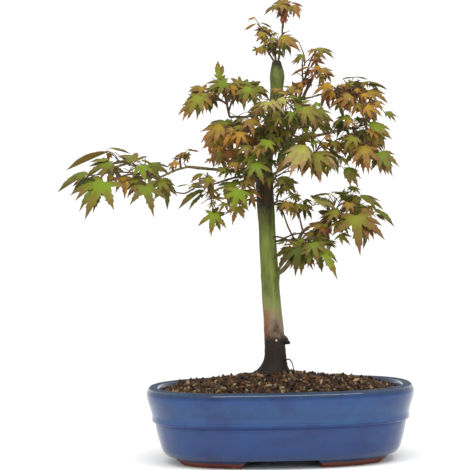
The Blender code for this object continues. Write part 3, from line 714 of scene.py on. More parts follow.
# the leaves seen first, each given by where its heart and the tip of its long lobe stand in the
# photograph, as a column and a row, its depth from the pot's middle in millimetres, how many degrees it
# faces up instead of forward, its tint, and how open its fan is where it isn't full
leafTerms = ("heartColumn", "heartRow", "tipColumn", "tipRow", "depth", "facing", "tint", "opening")
# a leaf with the dark tint carries painted shade in its colours
outerLeaves = {
    "foliage_far_left": (
        (103, 183, 85.2, 220, -34, 42, "fresh", 1.3), (145, 187, 154.8, 218, -36, 40, "green", 1.3),
        (110, 164, 84, 179, -18, 58, "green"), (88, 173, 57, 191.5, -10, 68, "green", 0.5),
        (141, 165, 147, 184, -14, 66, "fresh"), (110, 151, 70, 173, 8, 87, "bronze", 0.04),
        (109, 148, 131, 150.5, 6, 80, "olive", 0.5), (106, 161, 90, 158.5, -16, 66, "olive", 0.5),
        (132, 157.5, 118, 154, -6, 70, "olive", 0.6), (141, 160, 153, 164.5, -10, 70, "green", 0.6),
        (138, 183, 127, 199, -20, 45, "olive", 0.8), (133, 184, 137, 197, -22, 45, "bronze", 0.7),
        (160, 180, 171, 196, -8, 45, "olive"), (109, 152, 109, 162, 12, 30, "orange", 0.6),
        (88, 178, 73, 193, 0, 50, "olive", 0.7), (126, 176, 125, 199, 4, 50, "orange", 0.8),
        (132, 161, 117, 154, 10, 60, "olive"), (150, 163, 170, 176, 6, 70, "green", 0.7),
        (110, 178, 119, 184, -20, 50, "bronze"), (165, 188, 178, 196, 0, 60, "olive"),
        (99, 184, 79.8, 213, -30, 45, "green", 0.2), (97, 184, 75, 201, -28, 50, "olive", 0.2),
        (95, 182, 69, 195.5, -24, 55, "green", 0.2), (101, 190, 94, 213, -32, 42, "olive", 0.2),
        (128, 181, 125, 199, -26, 45, "orange", 0.2), (138, 180, 123, 182, -22, 62, "green"),
        (96, 178, 76, 184, -16, 66, "dark"), (160, 190, 164, 200, -6, 40, "bronze"),
    ),
    "foliage_above_left": (
        (184, 153, 173, 158, -6, 62, "bronze"), (177, 162, 169, 171, -8, 55, "orange"),
        (188, 150, 199, 150, 0, 70, "bronze", 0.5), (182, 157, 190, 153, -4, 50, "olive"),
    ),
    "foliage_lower_left": (
        (214.2, 214, 211.5, 237, -30, 34, "fresh", 1.3), (211, 178, 192, 190, -26, 56, "olive"),
        (203, 190, 178.5, 210, -14, 60, "green", 0.2), (203, 194, 188.5, 211, -12, 60, "green", 0.2),
        (199, 183, 188, 190, -18, 62, "fresh", 0.7), (201, 182, 215, 178, -16, 66, "fresh", 0.6),
        (216, 199, 221, 193, -22, 30, "olive"), (214, 202, 208, 210, -24, 50, "olive"),
        (212, 196, 206, 200, -20, 50, "green"), (188, 185, 176, 184.5, -18, 80, "green", 0.3),
        (214, 190, 212, 201, -18, 45, "bronze"), (203, 174, 190, 184, -16, 60, "olive", 0.4),
    ),
    "foliage_under_left": (
        (239, 190, 230, 216, -40, 28, "fresh"), (237.5, 207, 233, 225.5, -34, 35, "olive"),
        (223, 168, 220, 179, -24, 45, "green"), (255, 164, 264, 185, -44, 45, "green"),
        (241, 206, 244.5, 217, -30, 40, "olive"), (247, 180, 256, 190, -30, 45, "bronze"),
        (235, 184, 217, 184, -28, 62, "green"), (241, 183, 257, 187, -30, 60, "olive"),
        (229, 171, 217, 178, -22, 52, "green"), (237, 171, 241, 181, -26, 50, "dark"),
        (250, 190, 254, 207, -24, 45, "bronze"), (226, 203, 218, 214, -28, 48, "olive"),
        (246, 169, 243, 180, -34, 45, "dark"), (232, 162, 226, 171, -20, 50, "olive"),
        (252, 199, 256, 210, -18, 45, "dark"),
    ),
    "foliage_middle_left": (
        (222, 126, 200.5, 144, -32, 48, "bronze", 0.7), (240, 132, 236, 150, -40, 42, "orange"),
        (220.5, 146, 209, 155, -26, 45, "orange"), (251.5, 119.5, 254, 139, -34, 45, "bronze"),
        (212, 159.5, 203, 164, -18, 55, "bronze"), (234, 163, 236, 176, -34, 45, "bronze"),
        (246, 146, 247, 162, -40, 42, "olive"), (231, 121, 226, 118, -16, 50, "green"),
        (229, 150, 228, 164, -26, 42, "red"), (252, 157, 247, 172, -36, 45, "green"),
        (227, 124, 209, 121, -18, 64, "olive"), (238, 120, 248, 119, -20, 60, "olive"),
        (238, 126, 243, 138, -28, 50, "olive"), (216, 142, 209, 152, -24, 45, "bronze"),
        (229, 139, 226, 150, -30, 45, "orange"), (257, 130, 254, 143, -16, 45, "dark"),
        (262, 127, 264, 142, -14, 45, "dark"), (244, 138, 250, 148, -30, 45, "bronze"),
        (221, 161, 213, 167, -16, 52, "bronze"), (240, 155, 236, 166, -28, 45, "dark"),
        (256, 150, 260, 163, -30, 45, "green"), (233, 129, 222, 137, -34, 50, "bronze"),
        (246, 140, 242, 152, -24, 45, "dark"), (252, 150, 250, 162, -22, 46, "dark"),
        (240, 160, 238, 171, -22, 46, "olive"),
    ),
    "foliage_upper_left": (
        (218, 78.5, 217.3, 58.5, -4, 8, "fresh", 0.2), (220, 79, 222.8, 62.5, -4, 8, "fresh", 0.2),
        (248, 88, 243, 108, -28, 32, "fresh"), (200, 97, 186.5, 120, -30, 42, "olive"),
        (225, 83, 203, 95, -18, 52, "green"), (196, 88, 188, 93, 4, 45, "olive"),
        (232, 86, 234, 101, -16, 45, "orange"), (244, 84, 262, 81, -4, 60, "green"),
        (252, 90, 269, 94, -20, 55, "green"), (257, 88, 270, 100, -12, 50, "olive"),
        (204, 93, 202, 107, -22, 45, "olive"), (205, 98, 207, 114, -18, 42, "orange", 0.7),
        (238, 88, 229, 98, -12, 50, "olive"), (217, 86, 206, 93, -6, 50, "olive"),
        (240, 85, 230, 77, -2, 22, "olive"), (254, 88, 261, 79, 0, 22, "green"),
        (258, 91, 268, 99, -8, 48, "green"), (203, 90, 193, 84, -10, 40, "bronze"),
        (193, 103, 182.5, 122, -20, 45, "bronze", 0.6), (244, 93, 238, 103, -18, 46, "green"),
        (253, 96, 256, 109, -16, 45, "olive"), (213, 92, 208, 101, -10, 50, "bronze"),
        (222, 80, 226, 74, -2, 20, "olive"),
    ),
    "foliage_apex": (
        (283.5, 5, 281, 16, -8, 50, "bronze"), (292, 5, 298.5, 19, 0, 50, "bronze", 0.7),
        (279, 5, 264, 16, -6, 66, "olive", 0.5), (291, 3, 304, 7, 4, 70, "red", 0.5),
        (283, 2, 277, -1, 6, 50, "bronze"), (286, 4, 289, -3, 2, 20, "bronze"),
        (288, 7, 291, 16, -4, 50, "olive"), (280, 5, 279, -2, 0, 20, "olive"),
        (286, 12, 286, 21, -6, 20, "red", 0.4), (283, 17, 280.8, 25, -4, 30, "red", 0.4),
        (284, 17, 287, 25, -4, 30, "red", 0.4),
    ),
    "foliage_top": (
        (281.5, 36, 300, 54, -18, 58, "bronze", 0.75), (273, 38, 271, 47, -14, 50, "olive"),
        (263, 32, 257, 43, -8, 48, "bronze"), (257, 24, 244, 31.5, -4, 80, "orange", 0.35),
        (254, 18, 247.5, 18, 0, 60, "orange"), (262, 48, 255.5, 56, -8, 50, "bronze", 0.7),
        (281, 42, 283, 52, -2, 40, "olive"), (261, 23, 272, 27, 6, 75, "olive", 0.6),
        (289, 37, 297, 44, -8, 64, "olive"), (268, 30, 274, 36, 2, 55, "bronze"),
        (267, 40, 262, 50, -6, 45, "bronze"), (270, 44, 273, 54, -4, 45, "dark"),
        (276, 34, 268, 33, 0, 60, "olive"), (265, 27, 260, 34, 4, 50, "olive"),
        (277, 50, 285, 60, 0, 50, "dark", 0.5),
    ),
    "foliage_upper_right": (
        (318.5, 48, 334, 60, -10, 70, "olive"), (302, 54, 296, 66, -14, 48, "green", 0.7),
        (309, 67, 290, 75.5, -20, 80, "orange", 0.35), (320, 68, 335, 78, -12, 62, "bronze", 0.7),
        (317, 66, 320, 76, -12, 50, "orange"), (313.7, 74, 313, 82, -16, 40, "red"),
        (301, 83, 291, 87, -10, 60, "bronze"), (315, 49, 307, 58, -4, 66, "orange"),
        (322, 77, 326, 82, -4, 50, "olive"), (300, 84, 303, 91, -14, 45, "orange"),
        (316, 55, 313, 64, -8, 45, "bronze"), (306, 80, 300, 86, -12, 50, "red"),
        (311, 70, 305, 78, -14, 50, "red"),
    ),
    "foliage_high_right": (
        (329, 85, 312, 96, -20, 55, "orange"), (345, 84, 346, 92, -8, 50, "bronze"),
        (356, 77, 341, 76, -2, 86, "olive", 0.5), (356, 77, 368, 74, 2, 86, "olive", 0.4),
        (366, 81.5, 389, 87.5, -12, 74, "olive", 0.3), (366, 82, 361, 91, -8, 50, "olive", 0.7),
        (370, 83, 379, 91, -6, 55, "green", 0.7), (368.5, 91, 388, 103.5, -10, 58, "bronze", 0.8),
        (351, 95, 328, 109, -26, 54, "bronze", 0.9), (366.5, 106.5, 383, 117, -30, 48, "orange"),
        (350, 86, 350, 78, -6, 20, "olive"), (387, 112, 395.5, 123, -6, 50, "green", 0.6),
        (352, 103, 348, 111, -22, 45, "bronze"), (333, 92, 320.5, 101, -16, 50, "orange"),
        (345, 100, 330, 103, -24, 64, "bronze"), (364, 93, 366, 103, -20, 45, "orange"),
        (340, 90, 345, 98, -10, 50, "bronze"), (338, 85, 346, 88, -12, 60, "orange"),
        (356, 89, 363, 95, -14, 50, "orange"), (377, 102, 382, 113, -20, 45, "bronze"),
        (358, 103, 351, 118, -22, 48, "bronze"), (361, 106, 362, 119, -20, 45, "orange"),
        (349, 100, 349.5, 116, -20, 48, "bronze", 0.8), (326, 88, 331, 96, -8, 45, "bronze"),
        (374, 88, 382, 93, -4, 60, "orange"),
    ),
    "foliage_right": (
        (349.5, 117, 332, 125, -26, 56, "green"), (369, 122, 391, 139, -24, 50, "fresh", 0.4),
        (377, 130, 384, 151, -18, 45, "olive", 0.7), (353.5, 137, 343, 153, -32, 45, "olive"),
        (380, 152, 393, 177, -28, 42, "green", 0.75), (364, 147, 368, 175, -30, 45, "bronze"),
        (350, 120, 346, 131, -30, 42, "bronze"), (372, 128, 379, 143, -26, 42, "orange", 0.8),
        (358, 138, 334, 138, -26, 76, "olive", 0.5), (379, 156, 386, 176, -24, 42, "olive"),
        (366, 135, 374, 148, -18, 45, "olive"), (372, 143, 384, 153, -10, 50, "bronze"),
        (350, 143, 353, 160, -22, 45, "bronze"), (362, 150, 358, 166, -14, 45, "olive"),
        (363, 152, 363.5, 175, -16, 45, "bronze", 0.5), (357, 118, 366, 124, -16, 55, "dark"),
        (345, 126, 355, 130, -18, 60, "dark"), (338, 147, 345, 157, -20, 50, "bronze"),
        (360, 130, 366, 141, -20, 50, "dark"),
    ),
    "foliage_inner_right": (
        (305, 145, 289, 178, -44, 45, "pale", 0.5), (306, 146, 297, 174, -40, 45, "olive", 0.55),
        (315, 154, 320.5, 183, -38, 40, "olive"), (319, 153, 337, 168, -32, 58, "pale"),
        (323, 143, 332, 147, -20, 55, "orange"), (346, 167, 358, 189, -18, 45, "green", 0.45),
        (309, 160, 320, 184, -34, 48, "bronze", 0.2), (301, 158, 301, 179, -34, 48, "olive", 0.2),
        (320, 164, 327, 178, -26, 48, "olive", 0.2), (304, 147, 281, 166, -38, 60, "pale", 0.7),
        (310, 134, 294, 139, -26, 60, "olive"), (314, 141, 317, 150, -24, 45, "fresh"),
        (312, 133, 318.5, 137, -24, 50, "bronze"), (325, 158, 331, 166, -26, 50, "bronze"),
        (297, 155, 274, 176, -30, 62, "olive", 0.3), (333, 142, 344, 152, -22, 52, "olive", 0.8),
        (329, 163, 327, 178, -24, 45, "olive"), (340, 158, 350, 168, -16, 52, "pale"),
        (327, 135, 333, 143, -18, 50, "orange"),
    ),
    "foliage_near_trunk": (
        # the pale and bronze tints here are painted light: colours lighter than the leaves about them, set
        # against the shade that the crown above casts on them
        (282, 181, 273, 187, -18, 48, "pale"), (285, 187, 298, 192, -20, 52, "olive"),
        (288, 202, 287, 216, -26, 45, "bronze"), (301, 206, 316, 211, -18, 56, "olive"),
        (291, 196, 303, 201, -16, 55, "olive"), (282, 204, 279, 213, -16, 45, "olive"),
        (287, 203, 287, 216, -18, 48, "bronze", 0.7), (292, 206, 291, 219, -20, 46, "olive", 0.8),
        (283, 176, 286, 190, -14, 45, "olive"), (298, 204, 296, 215, -22, 45, "olive"),
        (280, 188, 278, 198, -10, 45, "olive"), (305, 200, 313, 206, -10, 60, "olive"),
        (290, 181, 294, 188, -18, 50, "green"),
    ),
    "foliage_low_right": (
        (331, 193.5, 310, 195, -22, 80, "green", 0.5), (332, 193, 347, 189.5, -20, 80, "green", 0.5),
        (316, 200, 337, 203.5, -24, 58, "pale", 0.9), (356, 217, 358.5, 256, -38, 34, "olive", 1.25),
        (337, 212, 319, 219, -34, 55, "olive"), (361, 195, 384, 210, -18, 66, "green", 0.5),
        (353, 187, 346, 191, -8, 50, "olive"), (352, 187, 361, 195, -8, 58, "olive", 0.8),
        (374.5, 209.5, 394.5, 227, -12, 60, "green", 0.2), (376, 214, 386, 222, -10, 50, "olive", 0.3),
        (349, 203, 345, 217, -26, 45, "bronze"), (358, 219, 385, 240, -32, 46, "bronze", 0.8),
        (341, 234, 351, 246, -30, 45, "olive"), (370, 206, 373, 215, -18, 42, "bronze"),
        (346, 192, 338, 199, -12, 56, "green"), (352, 217, 334, 228, -32, 55, "green"),
        (365, 222, 374, 240, -26, 42, "bronze", 0.6), (358, 197, 350, 206, -14, 50, "olive"),
        (320, 200, 312, 206, -22, 52, "pale"), (338, 223, 333, 236, -26, 45, "bronze"),
        (327, 225, 318, 231, -20, 56, "olive"), (342, 226, 349, 236, -28, 48, "olive"),
        (335, 194, 348, 196, -16, 80, "green", 0.6), (365, 208, 366, 219, -22, 45, "bronze"),
        (352, 204, 360, 212, -20, 50, "dark"),
    ),
    "foliage_lowest_right": (
        (313, 243, 319, 263, -38, 46, "green", 0.9), (321, 250, 337, 279, -36, 48, "fresh", 0.2),
        (320, 247, 338, 263, -34, 50, "green", 0.2), (313, 244, 306, 262, -30, 45, "green", 0.8),
        (299, 247, 295.5, 277, -28, 42, "dark"), (320, 226, 308, 223, -20, 60, "bronze"),
        (322, 228, 333.5, 236, -24, 50, "red"), (313, 248, 307, 269, -32, 45, "green"),
        (320, 242, 338, 241, -28, 70, "green", 0.5), (320, 250, 331, 256, -34, 56, "green", 0.7),
        (292, 250, 278, 272, -20, 48, "dark"), (290, 247, 277, 253, -16, 62, "olive"),
        (304, 250, 301, 276, -24, 42, "olive"), (316, 244, 314, 261, -34, 42, "bronze"),
        (284, 242, 275, 244, -12, 66, "olive"), (300, 244, 284, 240, -22, 66, "olive"),
        (313, 233, 301, 238, -18, 60, "bronze"), (318, 234, 331, 239, -20, 56, "olive"),
        (310, 236, 317, 244, -26, 50, "dark"), (326, 244, 338, 246, -22, 62, "green", 0.7),
        (303, 240, 292, 246, -20, 58, "green"),
    ),
    "foliage_front": (
        (268, 102, 264, 115, -56, 50, "pale"), (297, 110, 332, 119, -50, 55, "green", 0.9),
        (280, 93, 288, 91, -40, 62, "bronze"), (305, 107, 317, 131, -52, 45, "olive", 0.8),
        (281, 98, 289, 110, -48, 45, "pale"), (300, 110, 310, 123, -50, 45, "green"),
        (266, 104, 247, 111.5, -50, 58, "olive"), (277, 90, 270.5, 93, -38, 60, "bronze"),
        (271, 102, 286, 115, -54, 52, "pale"), (293, 112, 288, 127, -48, 45, "green"),
        (279, 117, 275, 131, -42, 45, "olive"), (290, 96, 301, 102, -36, 55, "green"),
        (259, 108, 254, 119, -36, 48, "bronze"), (275, 90, 284, 88, -34, 62, "bronze"),
        (305, 128, 308, 137, -34, 48, "olive"), (292, 90, 284, 95, -30, 55, "olive"),
        (297, 90, 300, 98, -28, 50, "bronze"), (288, 88, 299, 88, -26, 64, "bronze"),
        (308, 101, 299, 103, -40, 60, "olive"), (314, 104, 324, 111, -40, 55, "green"),
        (317, 110, 333, 121, -44, 52, "green", 0.8), (280, 131, 278, 142, -20, 45, "dark"),
        (288, 131, 287, 141, -26, 50, "olive"), (271, 118, 267, 130, -34, 45, "dark"),
        (284, 120, 286, 131, -32, 48, "dark"), (297, 124, 293, 133, -30, 50, "olive"),
        (262, 112, 266, 123, -30, 45, "dark"), (313, 118, 318, 128, -36, 45, "orange"),
        (276, 111, 272, 125, -30, 48, "olive"), (280, 119, 282, 133, -28, 48, "dark"),
        (273, 125, 270, 139, -26, 48, "olive"), (279, 128, 276, 141, -22, 50, "green"),
        (272, 113, 268, 121, -24, 45, "bronze"), (285, 131, 288, 143, -24, 48, "olive"),
        (262, 108, 256, 120, -24, 48, "dark"), (268, 118, 264, 130, -22, 50, "olive"),
        (275, 132, 277, 145, -20, 46, "dark"), (262, 126, 258, 138, -22, 50, "dark"),
        (284, 112, 290, 124, -26, 50, "dark"), (290, 122, 294, 134, -22, 48, "olive"),
        (268, 104, 271, 116, -28, 55, "green"), (280, 139, 284, 151, -22, 48, "dark"),
    ),
    "foliage_front_low": (
        (267.5, 142, 275, 154, -50, 42, "fresh"), (259, 146, 258, 160, -44, 45, "bronze"),
        (267, 140, 263, 156, -46, 45, "fresh"), (272, 134, 268, 146, -38, 45, "dark"),
        (277, 138, 280, 151, -30, 48, "olive"), (274, 146, 276, 159, -26, 48, "dark"),
        (262, 157, 262, 170, -40, 45, "dark"), (268, 146, 265, 158, -26, 48, "dark"),
        (262, 154, 260, 167, -24, 45, "olive"), (272, 160, 270, 173, -24, 48, "dark"),
        (282, 150, 286, 162, -22, 48, "green"), (262, 172, 259, 184, -22, 45, "dark"),
        (268, 178, 270, 190, -20, 46, "olive"),
    ),
}


# leaves: a closed blade of three, five or seven toothed lobes for each leaf
blade = {
    "lobes": ((-130, 0.32), (-88, 0.62), (-44, 0.86), (0, 1.0), (44, 0.86), (88, 0.62), (130, 0.32)),
    "bays": (0.14, 0.25, 0.31, 0.31, 0.25, 0.14),          # how far out the cuts between the lobes reach
    "width": 0.148,                                         # half a lobe's width, of its length
    "slender": ((-34, 0.34), (0, 1.0), (34, 0.34)),         # the lobes of a leaf seen folded, and its bays
    "slenderBays": (0.24, 0.24),
    "teeth": ((0.20, 0.94), (0.25, 0.72), (0.43, 1.00), (0.48, 0.66), (0.67, 0.62), (0.71, 0.36)),
    "fewTeeth": ((0.30, 1.00), (0.37, 0.70), (0.62, 0.66), (0.67, 0.36)),
    "least": 0.012,                                         # what a closed lobe's half width comes down to
    "thickness": 0.00035, "curl": 0.12, "droop": (0.22, 0.46), "outerDroop": (0.34, 0.20, 0.06),
    "fold": 0.30, "folds": (-1, -0.6, 0.5), "foldPlay": (0.6, 1.2), "sway": 0.12, "bayPlay": (0.90, 1.12),
    "lobePlay": (-0.10, 0.05), "hangPlay": (-0.20, 0.25), "turnPlay": 6,
    "base": (34, 0.05), "heart": 0.5, "ripeness": (-0.12, 0.16), "mottle": 0.09,
    "palest": 0.10, "browning": 0.95, "bayTurn": 2, "lowest": 0.3, "knuckle": 0.55, "tipSink": -0.02,
    "toothPlay": 0.02, "fewTeethBelow": 0.5,
    "sevenLobedFrom": 0.017, "toothedFrom": 0.015, "slenderBelow": 0.3, "coversFrom": 0.7,
}
palettes = {
    # heart, middle, tip, underside
    "fresh": ("5e7413", "616c17", "644f22", "606b26"),
    "green": ("586a15", "596219", "5a4a22", "545c25"),
    # dark is the greens darkened: painted shade, dealt to leaves that sit deep in the crown
    "dark": ("414b12", "3e4311", "423615", "3f441d"),
    "pale": ("868536", "83803d", "7e6444", "83823f"),
    "olive": ("6a6e1c", "66611d", "624827", "5b5825"),
    "bronze": ("7d6d20", "776021", "6f4a29", "69562a"),
    "orange": ("8c701c", "86641c", "794e21", "735727"),
    "red": ("7a5424", "704620", "623728", "6a4229"),
}
toneSteps = 7       # from a leaf's heart to its tips
# the tints dealt to the leaves behind the outer ones; dark among them is painted shade
sprays = {
    "green": ("green", "green", "dark", "fresh", "olive"),
    "pale": ("pale", "pale", "fresh", "olive"),
    "olive": ("olive", "green", "bronze", "dark", "olive"),
    "bronze": ("bronze", "orange", "olive", "bronze", "red"),
}


def leafMaterial(name, colour):
    material, nodes, links, shader = newMaterial(name)
    coords = objectCoords(nodes)
    shader.inputs["Base Color"].default_value = colour
    shader.inputs["Specular IOR Level"].default_value = 0.14
    grain = noiseNode(nodes, links, coords, 900, 3)
    links.new(rangeNode(nodes, links, grain, 0.3, 0.7, 0.42, 0.60), shader.inputs["Roughness"])
    bumpNode(nodes, links, shader, grain, 0.25, 0.0002)
    return material


def leafTones():
    # each palette's steps from heart to tip, then its underside
    tones = []
    for name, colours in palettes.items():
        heart, middle, tip, under = (np.array(tone(colour)) for colour in colours)
        for step in range(toneSteps):
            share = 2 * step / (toneSteps - 1)
            colour = heart + (middle - heart) * share if share < 1 else middle + (tip - middle) * (share - 1)
            tones.append(leafMaterial(name + str(step), colour.tolist()))
        tones.append(leafMaterial(name + "Under", under.tolist()))
    return tones


def addBlade(leaf, dice, palette, book, spread, droop):
    # one leaf's points and faces, added to the book of a joined mesh; spread below 1 closes its fan
    middle, along, face, length = leaf
    side = face.cross(along)
    fold = blade["fold"] * dice.choice(blade["folds"]) * dice.uniform(*blade["foldPlay"])
    ripeness = dice.uniform(*blade["ripeness"])
    half = blade["thickness"] / 2 / length
    points, faces, picks = book["points"], book["faces"], book["picks"]

    def put(spot, lift, hang=1.0):
        reach = spot.length
        drop = hang * (droop * reach ** 2 + blade["curl"] * reach ** 4)
        points.append(middle + (side * spot.x + along * spot.y + face * (lift - drop)) * length)
        return len(points) - 1

    def addFace(corners, hand, place):
        # browner towards the tips; a place past 1 is the underside, which has its own colour
        value = blade["palest"] + place * blade["browning"] + ripeness
        value += dice.uniform(-blade["mottle"], blade["mottle"])
        step = toneSteps if place > 1 else min(max(int(value * toneSteps), 0), toneSteps - 1)
        faces.append(corners if hand > 0 else corners[::-1])
        picks.append(palette * (toneSteps + 1) + step)

    def heading(turn):
        return Vector((math.sin(turn), math.cos(turn)))

    lobes, bays = blade["lobes"], blade["bays"]
    if spread < blade["slenderBelow"]:
        lobes, bays = blade["slender"], blade["slenderBays"]
    elif length < blade["sevenLobedFrom"] or spread != 1:
        lobes, bays = [(angle * spread, reach) for angle, reach in lobes[1:-1]], bays[1:-1]
    teeth = blade["teeth"] if length > blade["toothedFrom"] else blade["fewTeeth"]
    top, under = put(Vector((0, 0)), half), put(Vector((0, 0)), -half)
    aside, inward = blade["base"]
    spots = [heading(math.radians(lobes[0][0] - aside)) * inward]
    for (angle, _), (nextAngle, _), bay in zip(lobes, lobes[1:], bays):
        turn = math.radians((angle + nextAngle) / 2 + dice.uniform(-blade["bayTurn"], blade["bayTurn"]))
        spots.append(heading(turn) * bay * dice.uniform(*blade["bayPlay"]))
    spots.append(heading(math.radians(lobes[-1][0] + aside)) * inward)
    corners = [put(spot, 0) for spot in spots]
    hearts = []
    for k, (angle, reach) in enumerate(lobes):
        loose = 1 if angle else 0       # the middle lobe is drawn true
        turn = math.radians(angle + dice.uniform(-blade["turnPlay"], blade["turnPlay"]) * loose)
        reach *= 1 + dice.uniform(*blade["lobePlay"]) * loose
        hang = 1 + dice.uniform(*blade["hangPlay"]) * loose
        ahead, right = heading(turn), heading(turn + math.pi / 2)
        sway = dice.uniform(-blade["sway"], blade["sway"]) * reach * loose
        lowest = max((spots[k].dot(ahead) + spots[k + 1].dot(ahead)) / 2, blade["lowest"] * reach)

        def onLobe(place, across):
            return ahead * place + right * (across + sway * (place / reach) ** 2)

        hearts.append(put(onLobe(lowest * blade["heart"], 0), half))
        near = put(onLobe(lowest, 0), half)
        knuckle = lowest + (reach - lowest) * blade["knuckle"]
        far = put(onLobe(knuckle, 0), half, 1 + (hang - 1) * blade["knuckle"])
        tip = put(onLobe(reach, 0), blade["tipSink"], hang)
        lobeTeeth = teeth if reach > blade["fewTeethBelow"] else blade["fewTeeth"][:2]
        for hand, spot, bay in ((-1, spots[k], corners[k]), (1, spots[k + 1], corners[k + 1])):
            low = spot.dot(ahead)
            wide = blade["width"] * reach * min(1, spread * 5) + blade["least"]
            edge = []
            for t, share in lobeTeeth:
                play = dice.uniform(-blade["toothPlay"], blade["toothPlay"])
                place = low + (reach - low) * (t + play)
                edge.append(put(onLobe(place, hand * wide * share), fold * wide * share, 1 + (hang - 1) * t))
            addFace((hearts[-1], near, bay), hand, 0.22)
            addFace((bay, near, edge[0]), hand, 0.42)
            if len(edge) == 6:
                addFace((near, edge[2], edge[1], edge[0]), hand, 0.50)
                addFace((near, far, edge[3], edge[2]), hand, 0.62)
                addFace((far, edge[4], edge[3]), hand, 0.76)
                addFace((far, tip, edge[5], edge[4]), hand, 0.92)
            elif len(edge) == 4:
                addFace((near, far, edge[1], edge[0]), hand, 0.55)
                addFace((far, edge[2], edge[1]), hand, 0.74)
                addFace((far, tip, edge[3], edge[2]), hand, 0.92)
            else:
                addFace((near, far, edge[1], edge[0]), hand, 0.60)
                addFace((far, tip, edge[1]), hand, 0.85)
            addFace((under, bay, *edge, tip), hand, 2)
    for k in range(len(hearts) - 1):
        addFace((top, hearts[k], hearts[k + 1]), 1, 0.02)
        addFace((hearts[k], corners[k + 1], hearts[k + 1]), 1, 0.14)
    addFace((top, hearts[-1], corners[-1]), 1, 0.05)
    addFace((top, corners[-1], corners[0]), 1, 0.05)
    addFace((top, corners[0], hearts[0]), 1, 0.05)
    addFace((under, corners[0], corners[-1]), 1, 2)


def newBook():
    return {"points": [], "faces": [], "picks": []}


def addTube(book, line, radii, sides, pick=0):
    points, faces = tubeArrays(line, radii, sides)
    start = len(book["points"])
    book["points"] += points
    book["faces"] += [tuple(start + i for i in face) for face in faces]
    book["picks"] += [pick] * len(faces)


outer = {
    "lean": 0.12, "turns": 3, "leastSeen": 0.45,
    # the fine shoot that carries a leaf: where it ends under the blade, its arch and its radius
    "back": 0.20, "under": 0.22, "longerThan": 0.002, "arch": 0.12, "radius": 0.0004, "thickness": 0.001,
}


def leafToward(middle, end, lift, lean):
    # the leaf whose long lobe droops to its end, and the droop that brings it there
    face = Vector((lean, -math.cos(lift), math.sin(lift))).normalized()
    across = upward.cross(face).normalized()
    down = across.cross(face)
    wanted = Vector((end[0] - middle.x, end[1] - middle.z))
    best = None
    for droop in blade["outerDroop"]:
        for turn in range(0, 360, outer["turns"]):
            along = across * math.sin(math.radians(turn)) + down * math.cos(math.radians(turn))
            reach = along - face * (droop + blade["curl"])
            seen = Vector((reach.x, reach.z))
            match = seen.normalized().dot(wanted.normalized()) + 0.04 * min(seen.length, 1.1)
            if best is None or match > best[0] + 0.01 * (droop != best[3]):
                best = (match, along, seen.length, droop)
    _, along, share, droop = best
    return (middle, along, face, wanted.length / max(share, outer["leastSeen"])), droop


def growOuter(mass, solids):
    # the outer leaves, each on a fine shoot from the nearest place on the mass's own twigs
    spots = []
    for line in [mass.stem] + mass.twigs:
        for a, b in zip(line, line[1:]):
            spots += [a, a.lerp(b, 0.5), b]
    for values in outerLeaves.get(mass.name, ()):
        spec = dict(zip(leafTerms, values))
        middle = millimetres(fromPhoto(spec["heartColumn"], spec["heartRow"], spec["depth"]))
        endX, _, endZ = fromPhoto(spec["tipColumn"], spec["tipRow"], spec["depth"])
        end = (endX / 1000, endZ / 1000)
        lean = mass.dice.uniform(-outer["lean"], outer["lean"])
        leaf, droop = leafToward(middle, end, math.radians(spec["facing"]), lean)
        _, along, face, length = leaf
        foot = middle - along * length * outer["back"] - face * length * outer["under"]
        root = min(spots, key=lambda spot: (spot - foot).length)
        if (root - foot).length > outer["longerThan"]:
            bend = root.lerp(foot, 0.5) + upward * (foot - root).length * outer["arch"]
            mass.twiglets.append([root, bend, foot])
            keepClear(mass.name, "twiglet", [root, bend, foot], outer["radius"], solids)
        opening = spec.get("opening", 1)
        mass.shapes[len(mass.leaves)] = (spec["tint"], opening, droop)
        mass.leaves.append((leaf, [foot]))
        if opening >= blade["coversFrom"]:
            cover.add(leaf)
        solids.append((mass.name, "outer", middle, length, treeOf(*coarseLeaf(leaf, outer["thickness"]))))


sideling = {
    "shares": (0.55, 1.35), "reach": (0.30, 0.55), "rise": (-0.1, 0.6), "arch": 0.0006,
    "leaf": (0.46, 0.62), "stalk": 0.32, "loose": 0.2, "looser": 0.08, "tries": 6,
}


def growSidelings(mass, solids):
    # finer shoots on the rule's own ones, each ending in up to two small leaves where they fit
    dice = random.Random(len(mass.name) * 31 + len(mass.leaves))
    for number, twig in enumerate(mass.twigs):
        for share in sideling["shares"]:
            knot = twig[0].lerp(twig[1], share) if share < 1 else twig[1].lerp(twig[2], share - 1)
            toward = (twig[2] - twig[0]).normalized()
            level = toward.cross(upward).normalized() * dice.choice((-1, 1))
            out = (level * 0.9 + toward * 0.6 + upward * dice.uniform(*sideling["rise"])).normalized()
            end = knot + out * mass.leaf * dice.uniform(*sideling["reach"])
            bend = knot.lerp(end, 0.5) + upward * sideling["arch"]
            mass.twiglets.append([knot, bend, end])
            for hand in (-1, 1):
                length = mass.leaf * dice.uniform(*sideling["leaf"])
                for attempt in range(sideling["tries"]):
                    aside = out.cross(upward).normalized() * hand
                    play = Vector((0, dice.uniform(-0.5, 0.5), dice.uniform(-0.4, 0.3)))
                    away = (out * 0.8 + aside * 0.7 + play).normalized()
                    middle = end + away * mass.leaf * sideling["stalk"]
                    leaf = mass.leafAt(middle, length, sideling["loose"] + sideling["looser"] * attempt)
                    if cover.hides(leaf) and mass.fits(number, leaf, [end], solids):
                        mass.leaves.append((leaf, [end]))
                        solid = treeOf(*coarseLeaf(leaf, outer["thickness"]))
                        solids.append((mass.name, "blade", middle, length, solid))
                        break


